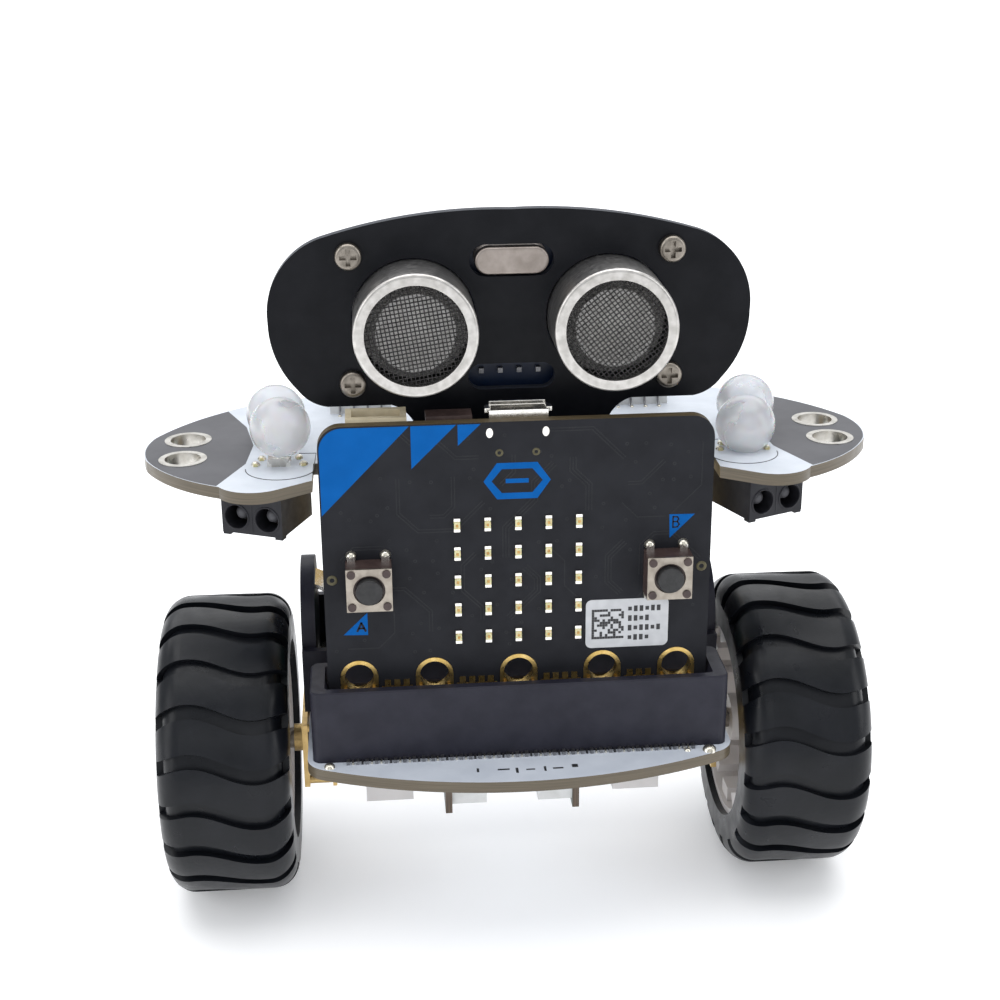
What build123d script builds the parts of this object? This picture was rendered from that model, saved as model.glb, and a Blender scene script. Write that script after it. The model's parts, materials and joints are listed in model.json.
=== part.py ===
from build123d import *
import os
from math import atan2, cos, degrees, radians, sin

# Two wheel robot car.  Millimetres, +Z up, +X to the right, the face looks along -Y.
# The origin is on the floor, under the middle of the robot.

# Wheels and their axle
wheel_radius = 21.5
wheel_width = 18.0
wheel_inner_x = 31.6
axle_y = 3.15
axle_z = wheel_radius
tyre_bore_radius = 14.5
rim_seat_radius = 15.2
tyre_lip = 1.0
shoulder_radius = 3.5
groove_count = 20
groove_width = 2.0
groove_depth = 0.9
groove_swing = 1.3
rim_wall = 1.6
rim_spokes = 6
rim_teeth = 12
hub_radius = 3.5
hub_inset = 1.5
web_inset = 1.6
web_thickness = 2.0
rim_tooth_length = 7.4
rim_tooth_section = (2.8, 3.4)
wave_steps = 8

# Boards
board_thickness = 1.6
lower_board_top = 28.5
lower_board_half_width = 29.0
lower_board_front_y = -24.65
lower_board_back_y = 24.4
lower_board_shoulder_y = -18.2
lower_board_corner = 5.0
upper_board_top = 67.7
upper_board_back_y = 24.4
upper_board_notch_y = -7.0
upper_board_notch_x = 26.6
upper_board_notch_depth_y = -13.6
ear_arcs = (
    ((31.0, -16.55), (34.6, -17.4), (38.4, -14.8)),
    ((38.4, -14.8), (45.0, -9.6), (48.7, -3.85)),
    ((48.7, -3.85), (49.5, 1.0), (48.7, 5.85)),
    ((48.7, 5.85), (44.5, 12.4), (37.2, 19.25)),
    ((37.2, 19.25), (33.4, 21.3), (29.1, 22.7)),
    ((29.1, 22.7), (14.8, 23.97), (0, upper_board_back_y)),
)
ear_hole_x = 44.0
ear_hole_y = 0.55
ear_hole_pitch = 8.0
ear_rim_bore = 4.8
ear_rim_flange = 6.4
plating = 0.1
running_gap = 0.05

# Control board, standing in its edge socket
control_width = 51.6
control_height = 42.0
control_bottom = 32.7
control_face_y = -13.35
control_corner = 3.0
control_hole_x = (-21.59, -11.43, 0.0, 11.43, 21.59)
control_hole_z = control_bottom + 6.4
control_hole_bore = 4.0
control_hole_ring = 5.1
contact_pitch = 1.27
led_pitch = 4.03
led_centre_z = control_bottom + 20.0
button_x = 19.8
button_z = 53.3
button_size = 6.0
button_depth = 3.1
button_cover = 0.3
button_front_wall = 0.5
cover_hole_gap = 0.35
rivet_reach = 2.3
rivet_radius = 0.55
plunger_radius = 1.75
plunger_reach = 0.9
flange_radius = 2.35
flange_thickness = 0.5
contact_dome_steps = ((0.0, 0.3, 2.1), (0.3, 0.6, 1.2))
reset_x = -8.75
reset_z = 72.2
reset_depth = 3.0
reset_plunger_radius = 1.5
reset_plunger_reach = 0.8
usb_x = 0.3
usb_half_width = 3.85
usb_depth = 2.7
usb_bottom = 70.3
usb_top = 75.7
usb_shell = 0.3
usb_tongue_half = 2.2
battery_plug_x = (-22.1, -14.2)
battery_plug_depth = 4.6
battery_plug_z = (69.2, 75.2)
battery_plug_wall = 0.8
battery_pin_x = (-19.15, -17.15)

# Edge socket
socket_half_width = 28.25
socket_front_y = -17.35
socket_back_y = -7.75
socket_top = 38.9
socket_slot_gap = 0.1
socket_pin_count = 38
socket_corner = 1.2
socket_mouth = 1.1

# Standoffs between the boards
standoff_x = 23.4
standoff_front_y = -5.0
standoff_back_y = 21.6
standoff_flats = 4.0
standoff_thread = 6.0
screw_radius = 1.0
screw_length = 5.0
screw_head_radius = 1.9
screw_head_height = 1.4
cross_slot_length = 2.2
cross_slot_width = 0.6
cross_slot_depth = 0.9

# Power switch behind the battery
switch_y = 22.1
switch_half_length = 4.3
switch_half_depth = 1.8
switch_height = 3.5
switch_roof = 0.6
switch_cavity_half_depth = 1.25
switch_travel = 2.0
knob_half = 0.75
knob_top = 34.6
slider_half_length = 1.8
slider_half_depth = 1.2
slider_thickness = 0.7

# Battery holder
holder_half_width = 29.7
holder_front_y = -2.35
holder_back_y = 18.65
holder_side_top = 38.0
holder_end_wall = 2.0
holder_arch_radius = 9.2
holder_wall = 1.2
holder_floor = 1.0
cell_radius = 9.0
cell_gap = 0.1
cell_length = 49.5
cell_nub = 1.0
cell_nub_radius = 3.0
contact_thickness = 0.4
leaf_half_width = 3.0
leaf_reach = 6.5

# Face plate and distance sensor
face_y = -4.85
face_thickness = 1.6
face_side_arcs = (
    ((0, 100.4), (14.0, 99.6), (24.5, 97.2)),
    ((24.5, 97.2), (29.9, 93.1), (31.65, 86.4)),
    ((31.65, 86.4), (30.35, 80.4), (28.2, 77.2)),
    ((28.2, 77.2), (26.7, 75.7), (24.4, 74.8)),
)
face_waist = ((24.4, 74.8), (16.0, 74.8))
face_waist_arc = ((16.0, 74.8), (14.6, 74.1), (13.2, 72.5))
face_foot = ((13.2, 72.5), (10.5, upper_board_top), (0, upper_board_top))
crystal_slot = (11.0, 4.2)
header_slot = (11.5, 3.5)
sensor_y = -1.25
sensor_thickness = 1.2
sensor_width = 45.0
sensor_top = 96.45
sensor_bottom = 75.3
can_x = 12.75
can_z = 86.2
can_radius = 8.0
can_length = 12.0
can_wall = 0.4
can_lip = 1.45
can_lip_depth = 0.5
mesh_inset = 0.6
mesh_thickness = 0.25
crystal_x = 0.1
crystal_z = 93.8
crystal_size = (9.6, 3.6)
crystal_height = 4.1
face_screw_x = 20.95
face_screw_z = (78.0, 94.9)
header_z = 78.3
header_pitch = 2.54
header_pin = 0.64
header_drop_y = 3.6
header_tip = 0.9
face_screw_head = 1.75
face_screw_head_height = 1.3
nut_flats = 4.0
nut_height = 1.6

# Lights and terminals on the ears
dome_radius = 4.0
dome_centres = ((-30.7, -6.4, 72.7), (-31.7, 3.1, 71.6), (31.4, -6.4, 71.0), (33.5, 3.1, 71.0))
light_places = ((31.05, -6.4), (32.6, 3.1))
light_half = 1.6
light_top = 68.8
terminal_width = 8.65
terminal_depth = 9.1
terminal_height = 6.2
terminal_turn = 23.5
terminal_place = (32.9, -7.9)
terminal_pitch = 4.4
wire_hole_radius = 1.6
wire_hole_drop = 3.9
wire_hole_depth = 5.0
clamp_screw_radius = 1.5
clamp_screw_sink = 0.2
clamp_screw_length = 0.9
clamp_slot = (2.4, 0.5)
clamp_slot_depth = 0.4

# Gear motors, measured outward from the middle plane
motor_width = 12.0
motor_height = 10.0
plate_outer_x = 30.3
plate_thickness = 0.8
middle_plate_x = 26.2
middle_plate_thickness = 0.6
can_outer_x = 21.7
can_inner_x = 12.2
encoder_board_x = 9.9
encoder_board_thickness = 1.0
encoder_board_bottom = 10.9
encoder_board_top = 26.2
magnet_x = 6.3
gear_module = 0.25
wheel_gear_teeth = 20
pinion_teeth = 10
idler_offset = (3.0, 2.25)
gear_width = 2.2
output_gear_x = 29.2
motor_gear_x = 25.2
output_shaft_radius = 1.5
output_shaft_end_x = 44.0
bushing_end_x = 31.7
bushing_radius = 2.0
stub_radius = 0.8
motor_shaft_radius = 0.5
idler_axle_radius = 0.4
armature_radius = 3.6
armature_end_gap = 1.5
magnet_radius = 3.0
magnet_length = 2.0
flat_start_x = 32.2
shaft_flat = 1.0
can_sheet = 0.5
frame_post_radius = 0.6
frame_post_inset = 0.8

# Motor brackets and their screws
bracket_outer_x = 21.4
bracket_inner_x = 14.6
bracket_wall = 1.5
bracket_floor = 2.0
bracket_foot = 1.5
bracket_foot_half = 2.6
bracket_foot_reach = 11.2
bracket_screw_x = 18.7
bracket_screw_reach = 9.3
bracket_screw_radius = 1.0
bracket_screw_head = 1.6

# Chips: x, z, width, height, depth behind the control board, and x, y, width, depth,
# height under the lower board
upright_chips = ((-3.0, 57.0, 6.0, 6.0, 0.9), (9.5, 62.0, 5.0, 5.0, 0.9), (-13.0, 52.0, 3.0, 3.0, 1.0),
                 (-13.0, 59.5, 3.0, 3.0, 1.0), (9.5, 53.0, 3.2, 2.5, 0.8))
hanging_chips = ((-8.0, -11.5, 7.8, 5.6, 1.5), (7.0, -11.5, 4.0, 4.0, 0.9),
                 (0.0, 15.5, 6.5, 3.6, 1.6), (-12.0, 15.5, 3.2, 1.6, 1.2),
                 (12.0, 15.5, 3.2, 1.6, 1.2))

# Wire sockets: limits outward from the middle plane, along Y and along Z
encoder_plug = ((3.8, encoder_board_x - encoder_board_thickness), (-2.45, 7.55), (12.2, 16.6))
lower_plug = ((5.2, 12.8), (socket_back_y + 0.6, holder_front_y - 0.3), (lower_board_top, 34.5))
upper_plug = ((15.8, 24.6), (14.4, 19.0), (upper_board_top, 73.0))

SIDES = (("left", -1), ("right", 1))


def save(piece, name):
    """Label a finished piece and write it to its own file."""
    piece.part.label = name
    export_step(piece.part, f"parts/{name}.step")


def block(x_limits, y_limits, z_limits, mode=Mode.ADD):
    """A box between two limits along each axis, in the part being built."""
    limits = [sorted(pair) for pair in (x_limits, y_limits, z_limits)]
    centre = [(low + high) / 2 for low, high in limits]
    with Locations(tuple(centre)):
        Box(*[high - low for low, high in limits], mode=mode)


def rod_x(x_limits, y, z, radius, mode=Mode.ADD):
    """A round rod along X between two limits, in the part being built."""
    low, high = sorted(x_limits)
    with Locations((((low + high) / 2), y, z)):
        Cylinder(radius, high - low, rotation=(0, 90, 0), mode=mode)


def rod_y(x, y_limits, z, radius, mode=Mode.ADD):
    """A round rod along Y between two limits, in the part being built."""
    low, high = sorted(y_limits)
    with Locations((x, (low + high) / 2, z)):
        Cylinder(radius, high - low, rotation=(90, 0, 0), mode=mode)


def rod_z(x, y, z_limits, radius, mode=Mode.ADD):
    """A round rod along Z between two limits, in the part being built."""
    low, high = sorted(z_limits)
    with Locations((x, y, (low + high) / 2)):
        Cylinder(radius, high - low, mode=mode)


# ---------------------------------------------------------------- chassis boards

def bracket_screw_places():
    """X, Y of the four screws that hold the motor brackets."""
    return [(side * bracket_screw_x, axle_y + end * bracket_screw_reach)
            for _, side in SIDES for end in (-1, 1)]


def standoff_places():
    """X, Y of the four standoffs."""
    return [(side * standoff_x, y) for _, side in SIDES for y in (standoff_front_y, standoff_back_y)]


def make_lower_board():
    """White board that carries the motors, socket and battery, bowed out at the front."""
    half = lower_board_half_width
    with BuildPart() as lower_board:
        with BuildSketch(Plane.XY.offset(lower_board_top - board_thickness)) as outline:
            with BuildLine():
                ThreePointArc((-half, lower_board_shoulder_y), (0, lower_board_front_y),
                              (half, lower_board_shoulder_y))
                Polyline((half, lower_board_shoulder_y), (half, lower_board_back_y),
                         (-half, lower_board_back_y), (-half, lower_board_shoulder_y))
            make_face()
            fillet(outline.vertices().group_by(Axis.Y)[-1], lower_board_corner)
            fillet(outline.vertices().filter_by(
                lambda v: abs(v.Y - lower_board_shoulder_y) < running_gap), shoulder_radius)
            with Locations(*standoff_places()):
                Circle(screw_radius, mode=Mode.SUBTRACT)
            with Locations(*bracket_screw_places()):
                Circle(bracket_screw_radius, mode=Mode.SUBTRACT)
        extrude(amount=board_thickness)
    save(lower_board, "lower_board")


def make_upper_board():
    """Board with two round-tipped ears, notched at the front for the control board."""
    notch_x = upper_board_notch_x
    with BuildPart() as upper_board:
        with BuildSketch(Plane.XY.offset(upper_board_top - board_thickness)):
            with BuildLine() as half_outline:
                Polyline((0, upper_board_notch_y), (notch_x, upper_board_notch_y),
                         (notch_x, upper_board_notch_depth_y), ear_arcs[0][0])
                for points in ear_arcs:
                    ThreePointArc(*points)
                mirror(half_outline.line, about=Plane.YZ)
            make_face()
            with Locations(*standoff_places()):
                Circle(screw_radius, mode=Mode.SUBTRACT)
            with Locations((0, ear_hole_y)), GridLocations(2 * ear_hole_x, ear_hole_pitch, 2, 2):
                Circle(ear_rim_bore / 2 + plating, mode=Mode.SUBTRACT)
            with Locations((0, header_drop_y)), GridLocations(header_pitch, 0, 4, 1):
                Rectangle(header_pin, header_pin, mode=Mode.SUBTRACT)
        extrude(amount=board_thickness)
    save(upper_board, "upper_board")


def make_ear_hole_rims():
    """Plated rims of the four brick-pin holes in the ears."""
    with BuildPart() as ear_hole_rims:
        for x in (-ear_hole_x, ear_hole_x):
            for y in (ear_hole_y - ear_hole_pitch / 2, ear_hole_y + ear_hole_pitch / 2):
                top = upper_board_top
                bottom = upper_board_top - board_thickness
                rod_z(x, y, (bottom, top), ear_rim_bore / 2 + plating)
                rod_z(x, y, (top, top + plating), ear_rim_flange / 2)
                rod_z(x, y, (bottom - plating, bottom), ear_rim_flange / 2)
                rod_z(x, y, (bottom - 1, top + 1), ear_rim_bore / 2, Mode.SUBTRACT)
    save(ear_hole_rims, "ear_hole_rims")


def make_standoffs():
    """Four hexagonal pillars, tapped at both ends."""
    bottom = lower_board_top
    top = upper_board_top - board_thickness
    with BuildPart() as standoffs:
        with BuildSketch(Plane.XY.offset(bottom)):
            with Locations(*standoff_places()):
                RegularPolygon(standoff_flats / 2, 6, major_radius=False, rotation=30)
        extrude(amount=top - bottom)
        for x, y in standoff_places():
            rod_z(x, y, (bottom, bottom + standoff_thread), screw_radius, Mode.SUBTRACT)
            rod_z(x, y, (top - standoff_thread, top), screw_radius, Mode.SUBTRACT)
    save(standoffs, "standoffs")


def cut_cross_z(x, y, z_limits):
    """Cross recess in a screw head that faces along Z, in the part being built."""
    reach = cross_slot_length / 2
    half = cross_slot_width / 2
    block((x - reach, x + reach), (y - half, y + half), z_limits, Mode.SUBTRACT)
    block((x - half, x + half), (y - reach, y + reach), z_limits, Mode.SUBTRACT)


def make_board_screws():
    """Eight standoff screws and four bracket screws, with cross recesses."""
    foot = lower_board_top - board_thickness - bracket_foot
    with BuildPart() as board_screws:
        for x, y in standoff_places():
            for seat, way in ((upper_board_top, 1), (lower_board_top - board_thickness, -1)):
                top = seat + way * screw_head_height
                rod_z(x, y, (seat - way * screw_length, seat), screw_radius)
                rod_z(x, y, (seat, top), screw_head_radius)
                cut_cross_z(x, y, (top - way * cross_slot_depth, top + way))
        for x, y in bracket_screw_places():
            tip = foot - screw_head_height
            rod_z(x, y, (foot, lower_board_top), bracket_screw_radius)
            rod_z(x, y, (tip, foot), bracket_screw_head)
            cut_cross_z(x, y, (tip - 1, tip + cross_slot_depth))
    save(board_screws, "board_screws")


def make_power_switch():
    """Slide switch behind the battery: a box with a slotted roof and a T-shaped slider."""
    floor = lower_board_top
    roof = floor + switch_height
    reach = switch_travel / 2
    gap = running_gap
    with BuildPart() as power_switch_body:
        block((-switch_half_length, switch_half_length),
              (switch_y - switch_half_depth, switch_y + switch_half_depth), (floor, roof))
        cavity = slider_half_length + reach + gap
        block((-cavity, cavity), (switch_y - switch_cavity_half_depth, switch_y + switch_cavity_half_depth),
              (floor + slider_half_depth, roof - switch_roof), Mode.SUBTRACT)
        slot = knob_half + reach + gap
        block((-slot, slot), (switch_y - knob_half - gap, switch_y + knob_half + gap),
              (roof - switch_roof - 1, roof + 1), Mode.SUBTRACT)
    save(power_switch_body, "power_switch_body")
    with BuildPart() as power_switch_slider:
        plate_top = roof - switch_roof - gap
        block((-reach - slider_half_length, -reach + slider_half_length),
              (switch_y - slider_half_depth, switch_y + slider_half_depth),
              (plate_top - slider_thickness, plate_top))
        block((-reach - knob_half, -reach + knob_half),
              (switch_y - knob_half, switch_y + knob_half), (plate_top - slider_thickness, knob_top))
    save(power_switch_slider, "power_switch_slider")


# ---------------------------------------------------------------- edge socket

def make_edge_socket():
    """Black socket that grips the control board's bottom edge."""
    slot_half = control_width / 2 + socket_slot_gap
    with BuildPart() as edge_socket:
        block((-socket_half_width, socket_half_width), (socket_front_y, socket_back_y),
              (lower_board_top, socket_top))
        fillet(edge_socket.edges().filter_by(Axis.Z), socket_corner)
        block((-slot_half, slot_half),
              (control_face_y - socket_slot_gap, control_face_y + board_thickness + socket_slot_gap),
              (control_bottom, socket_top + 1), Mode.SUBTRACT)
        block((-slot_half, slot_half),
              (control_face_y - socket_mouth, control_face_y + board_thickness + socket_mouth),
              (socket_top - socket_mouth, socket_top + 1), Mode.SUBTRACT)
    save(edge_socket, "edge_socket")


def make_socket_pins():
    """Two rows of fine solder feet along the socket."""
    half = 0.22
    foot = 0.9
    rise = 0.5
    first = -(socket_pin_count - 1) / 2 * contact_pitch
    with BuildPart() as socket_pins:
        for number in range(socket_pin_count):
            x = first + number * contact_pitch
            for inner, outer in ((socket_front_y, socket_front_y - foot),
                                 (socket_back_y, socket_back_y + foot * 0.3)):
                block((x - half, x + half), (inner, outer),
                      (lower_board_top, lower_board_top + rise))
    save(socket_pins, "socket_pins")


# ---------------------------------------------------------------- control board

def make_control_board():
    """Upright board with five large plated holes along its bottom edge."""
    with BuildPart() as control_board:
        with BuildSketch(Plane.XZ.offset(-control_face_y - board_thickness)) as outline:
            with Locations((0, control_bottom + control_height / 2)):
                Rectangle(control_width, control_height)
            fillet(outline.vertices().group_by(Axis.Z)[-1], control_corner)
            with Locations(*[(x, control_hole_z) for x in control_hole_x]):
                Circle(control_hole_ring / 2, mode=Mode.SUBTRACT)
        extrude(amount=board_thickness)
    save(control_board, "control_board")


def make_board_contacts():
    """Gold hole rings with their pads, and the small edge contacts between them."""
    front = control_face_y
    back = control_face_y + board_thickness
    pad_half = control_hole_ring / 2
    strip_half = 0.4
    strip_bottom = control_bottom + 0.4
    strip_top = control_bottom + 5.9
    with BuildPart() as board_contacts:
        for x in control_hole_x:
            rod_y(x, (front - plating, back + plating), control_hole_z, control_hole_ring / 2)
            for face, skin in ((front, front - plating), (back, back + plating)):
                block((x - pad_half, x + pad_half), (face, skin), (strip_bottom, control_hole_z))
        for x in control_hole_x:
            rod_y(x, (front - 1, back + 1), control_hole_z, control_hole_bore / 2, Mode.SUBTRACT)
        for left_x, right_x in zip(control_hole_x[:-1], control_hole_x[1:]):
            room = right_x - left_x - control_hole_ring
            count = int(room / contact_pitch)
            middle = (left_x + right_x) / 2
            for number in range(count):
                x = middle + (number - (count - 1) / 2) * contact_pitch
                block((x - strip_half, x + strip_half), (front, front - plating),
                      (strip_bottom, strip_top))
    save(board_contacts, "board_contacts")


def make_led_matrix():
    """Twenty five small lights in a square grid."""
    with BuildPart() as led_matrix:
        with BuildSketch(Plane.XZ.offset(-control_face_y)):
            with Locations((0, led_centre_z)), GridLocations(led_pitch, led_pitch, 5, 5):
                Rectangle(0.9, 2.0)
        extrude(amount=0.5)
    save(led_matrix, "led_matrix")


def make_buttons():
    """Two push buttons: brown bodies, riveted metal covers and round plungers."""
    back = control_face_y
    front = back - button_depth
    gap = running_gap
    rivets = [(x, z) for x in (-rivet_reach, rivet_reach) for z in (-rivet_reach, rivet_reach)]
    half = button_size / 2
    with BuildPart() as button_bodies:
        for _, side in SIDES:
            x = side * button_x
            block((x - half, x + half), (front, back), (button_z - half, button_z + half))
            rod_y(x, (front + button_front_wall, back + 1), button_z, flange_radius + gap,
                  Mode.SUBTRACT)
            rod_y(x, (front - 1, back), button_z, plunger_radius + gap, Mode.SUBTRACT)
            for dx, dz in rivets:
                rod_y(x + dx, (front - button_cover - 0.2, front), button_z + dz, rivet_radius)
    save(button_bodies, "button_bodies")
    with BuildPart() as button_covers:
        for _, side in SIDES:
            x = side * button_x
            block((x - half, x + half), (front - button_cover, front),
                  (button_z - half, button_z + half))
            rod_y(x, (front - 1, front + 1), button_z, plunger_radius + cover_hole_gap, Mode.SUBTRACT)
            for dx, dz in rivets:
                rod_y(x + dx, (front - 1, front + 1), button_z + dz, rivet_radius, Mode.SUBTRACT)
    save(button_covers, "button_covers")
    for name, side in (("button_a_plunger", -1), ("button_b_plunger", 1)):
        with BuildPart() as plunger:
            x = side * button_x
            inner = front + button_front_wall + gap
            rod_y(x, (inner, inner + flange_thickness), button_z, flange_radius)
            rod_y(x, (front - button_cover - plunger_reach, inner), button_z, plunger_radius)
            fillet(plunger.edges().group_by(Axis.Y)[0], 0.2)
        save(plunger, name)


def make_reset_button():
    """Reset button on the back of the control board, pressed from behind."""
    front = control_face_y + board_thickness
    back = front + reset_depth
    half = button_size / 2
    gap = running_gap
    with BuildPart() as reset_body:
        block((reset_x - half, reset_x + half), (front, back), (reset_z - half, reset_z + half))
        rod_y(reset_x, (front - 1, back - button_front_wall), reset_z, flange_radius + gap,
              Mode.SUBTRACT)
        rod_y(reset_x, (front, back + 1), reset_z, reset_plunger_radius + gap, Mode.SUBTRACT)
    save(reset_body, "reset_body")
    with BuildPart() as reset_plunger:
        inner = back - button_front_wall - gap
        rod_y(reset_x, (inner - flange_thickness, inner), reset_z, flange_radius)
        rod_y(reset_x, (inner, back + reset_plunger_reach), reset_z, reset_plunger_radius)
    save(reset_plunger, "reset_plunger")


def make_contact_domes():
    """Thin snap domes under the three button plungers."""
    places = [(side * button_x, button_z, control_face_y, -1) for _, side in SIDES]
    places.append((reset_x, reset_z, control_face_y + board_thickness, 1))
    with BuildPart() as contact_domes:
        for x, z, face, way in places:
            for near, far, radius in contact_dome_steps:
                rod_y(x, (face + way * near, face + way * far), z, radius)
    save(contact_domes, "contact_domes")


def make_usb_port():
    """Metal shell of the small data port, open at the top, with its tongue."""
    front = control_face_y + board_thickness
    shell = usb_shell
    with BuildPart() as usb_port:
        block((usb_x - usb_half_width, usb_x + usb_half_width), (front, front + usb_depth),
              (usb_bottom, usb_top))
        block((usb_x - usb_half_width + shell, usb_x + usb_half_width - shell),
              (front + shell, front + usb_depth - shell), (usb_bottom + 1, usb_top + 1),
              Mode.SUBTRACT)
        block((usb_x - usb_tongue_half, usb_x + usb_tongue_half), (front + 3 * shell, front + 5 * shell),
              (usb_bottom + 1, usb_top - 2 * shell))
    save(usb_port, "usb_port")


def make_battery_connector():
    """Cream two-pin socket on the back of the control board, open at the top."""
    front = control_face_y + board_thickness
    left, right = battery_plug_x
    low, high = battery_plug_z
    wall = battery_plug_wall
    floor = low + 2.5 * wall
    middle = front + battery_plug_depth / 2
    with BuildPart() as battery_connector:
        block((left, right), (front, front + battery_plug_depth), (low, high))
        block((left + wall, right - wall), (front + wall, front + battery_plug_depth - wall),
              (floor, high + 1), Mode.SUBTRACT)
        for x in battery_pin_x:
            block((x - header_pin / 2, x + header_pin / 2),
                  (middle - header_pin / 2, middle + header_pin / 2), (floor, high - wall))
    save(battery_connector, "battery_connector")


def make_circuit_chips():
    """Chips behind the control board and under the lower board."""
    front = control_face_y + board_thickness
    seat = lower_board_top - board_thickness
    with BuildPart() as circuit_chips:
        for x, z, width, height, depth in upright_chips:
            block((x - width / 2, x + width / 2), (front, front + depth),
                  (z - height / 2, z + height / 2))
        for x, y, width, depth, height in hanging_chips:
            block((x - width / 2, x + width / 2), (y - depth / 2, y + depth / 2),
                  (seat - height, seat))
    save(circuit_chips, "circuit_chips")


# ---------------------------------------------------------------- battery

def cell_centre():
    """Y and Z of the cell's axis."""
    return ((holder_front_y + holder_back_y) / 2,
            lower_board_top + holder_floor + cell_gap + cell_radius)


def make_battery_holder():
    """Open tray with two arched end walls for one cylindrical cell."""
    inner_x = holder_half_width - holder_end_wall
    y, z = cell_centre()
    with BuildPart() as battery_holder:
        block((-holder_half_width, holder_half_width), (holder_front_y, holder_back_y),
              (lower_board_top, holder_side_top))
        block((-inner_x, inner_x), (holder_front_y + holder_wall, holder_back_y - holder_wall),
              (lower_board_top + holder_floor, holder_side_top + 1), Mode.SUBTRACT)
        for _, side in SIDES:
            rod_x((side * inner_x, side * holder_half_width), y, z, holder_arch_radius)
    save(battery_holder, "battery_holder")


def make_battery_cell():
    """Cylindrical rechargeable cell with its positive nub."""
    y, z = cell_centre()
    plus_end = holder_half_width - holder_end_wall - contact_thickness
    with BuildPart() as battery_cell:
        rod_x((plus_end - cell_nub - cell_length, plus_end - cell_nub), y, z, cell_radius)
        fillet(battery_cell.edges().filter_by(GeomType.CIRCLE), 0.6)
        rod_x((plus_end - cell_nub, plus_end), y, z, cell_nub_radius)
    save(battery_cell, "battery_cell")


def make_battery_contacts():
    """Flat plus contact and bowed minus leaf inside the holder's end walls."""
    y, z = cell_centre()
    wall = holder_half_width - holder_end_wall
    cell_end = wall - contact_thickness - cell_nub - cell_length
    half_plate = cell_radius / 2
    foot = leaf_reach - contact_thickness * 1.6
    with BuildPart() as battery_contacts:
        block((wall - contact_thickness, wall), (y - half_plate, y + half_plate),
              (z - half_plate, z + leaf_reach))
        with BuildSketch(Plane.XZ.offset(-y - leaf_half_width)):
            with BuildLine():
                ThreePointArc((-wall, z - leaf_reach), (cell_end, z), (-wall, z + leaf_reach))
                Line((-wall, z + leaf_reach), (-wall, z + foot))
                ThreePointArc((-wall, z + foot), (cell_end - contact_thickness, z),
                              (-wall, z - foot))
                Line((-wall, z - foot), (-wall, z - leaf_reach))
            make_face()
        extrude(amount=2 * leaf_half_width)
    save(battery_contacts, "battery_contacts")


# ---------------------------------------------------------------- face and distance sensor

def face_screw_places():
    """X, Z of the four screws through the face plate."""
    return [(side * face_screw_x, z) for _, side in SIDES for z in face_screw_z]


def make_face_plate():
    """Black mask with two eye holes, four screw holes and two slots."""
    with BuildPart() as face_plate:
        with BuildSketch(Plane.XZ.offset(-face_y - face_thickness)):
            with BuildLine() as half_outline:
                for points in face_side_arcs:
                    ThreePointArc(*points)
                Line(*face_waist)
                ThreePointArc(*face_waist_arc)
                Polyline(*face_foot)
                mirror(half_outline.line, about=Plane.YZ)
            make_face()
            with Locations((-can_x, can_z), (can_x, can_z)):
                Circle(can_radius + 0.2, mode=Mode.SUBTRACT)
            with Locations(*face_screw_places()):
                Circle(bracket_screw_radius, mode=Mode.SUBTRACT)
            with Locations((crystal_x, crystal_z)):
                SlotOverall(*crystal_slot, mode=Mode.SUBTRACT)
            with Locations((0, header_z)):
                SlotOverall(*header_slot, mode=Mode.SUBTRACT)
        extrude(amount=face_thickness)
    save(face_plate, "face_plate")


def make_sensor_board():
    """Blue board of the distance sensor."""
    with BuildPart() as sensor_board:
        with BuildSketch(Plane.XZ.offset(-sensor_y - sensor_thickness)):
            with Locations((0, (sensor_top + sensor_bottom) / 2)):
                Rectangle(sensor_width, sensor_top - sensor_bottom)
            with Locations(*face_screw_places()):
                Circle(bracket_screw_radius, mode=Mode.SUBTRACT)
            with Locations((0, header_z)), GridLocations(header_pitch, 0, 4, 1):
                Rectangle(header_pin, header_pin, mode=Mode.SUBTRACT)
        extrude(amount=sensor_thickness)
    save(sensor_board, "sensor_board")


def make_sensor_cans():
    """Aluminium cans of the two transducers, with rolled front rims."""
    front = sensor_y - can_length
    for name, side in SIDES:
        x = side * can_x
        with BuildPart() as sensor_can:
            rod_y(x, (front, sensor_y), can_z, can_radius)
            fillet(sensor_can.edges().group_by(Axis.Y)[0], 0.45)
            rod_y(x, (front + can_lip_depth, sensor_y - 0.5), can_z, can_radius - can_wall,
                  Mode.SUBTRACT)
            rod_y(x, (front - 1, front + 1), can_z, can_radius - can_lip, Mode.SUBTRACT)
        save(sensor_can, f"{name}_sensor_can")


def make_sensor_insides():
    """Mesh discs behind the rims, and the cones that they protect."""
    front = sensor_y - can_length
    mesh_front = front + mesh_inset
    mesh_back = mesh_front + mesh_thickness
    with BuildPart() as sensor_meshes:
        for _, side in SIDES:
            rod_y(side * can_x, (mesh_front, mesh_back), can_z, can_radius - can_wall)
    save(sensor_meshes, "sensor_meshes")
    cone_front = mesh_back + 0.8
    cone_back = cone_front + 3.0
    seat = sensor_y - 0.5
    with BuildPart() as sensor_cones:
        for _, side in SIDES:
            middle = (side * can_x, 0, can_z)
            with BuildSketch(Plane(origin=middle, x_dir=(1, 0, 0), z_dir=(0, 0, 1))):
                with BuildLine():
                    Polyline((0, cone_back), (1.5, cone_back), (4.6, cone_front),
                             (5.1, cone_front), (2.4, cone_back + 1.0), (2.4, cone_back + 2.0),
                             (7.2, cone_back + 2.0), (7.2, seat), (0, seat), close=True)
                make_face()
            revolve(axis=Axis(middle, (0, 1, 0)))
    save(sensor_cones, "sensor_cones")


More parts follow.
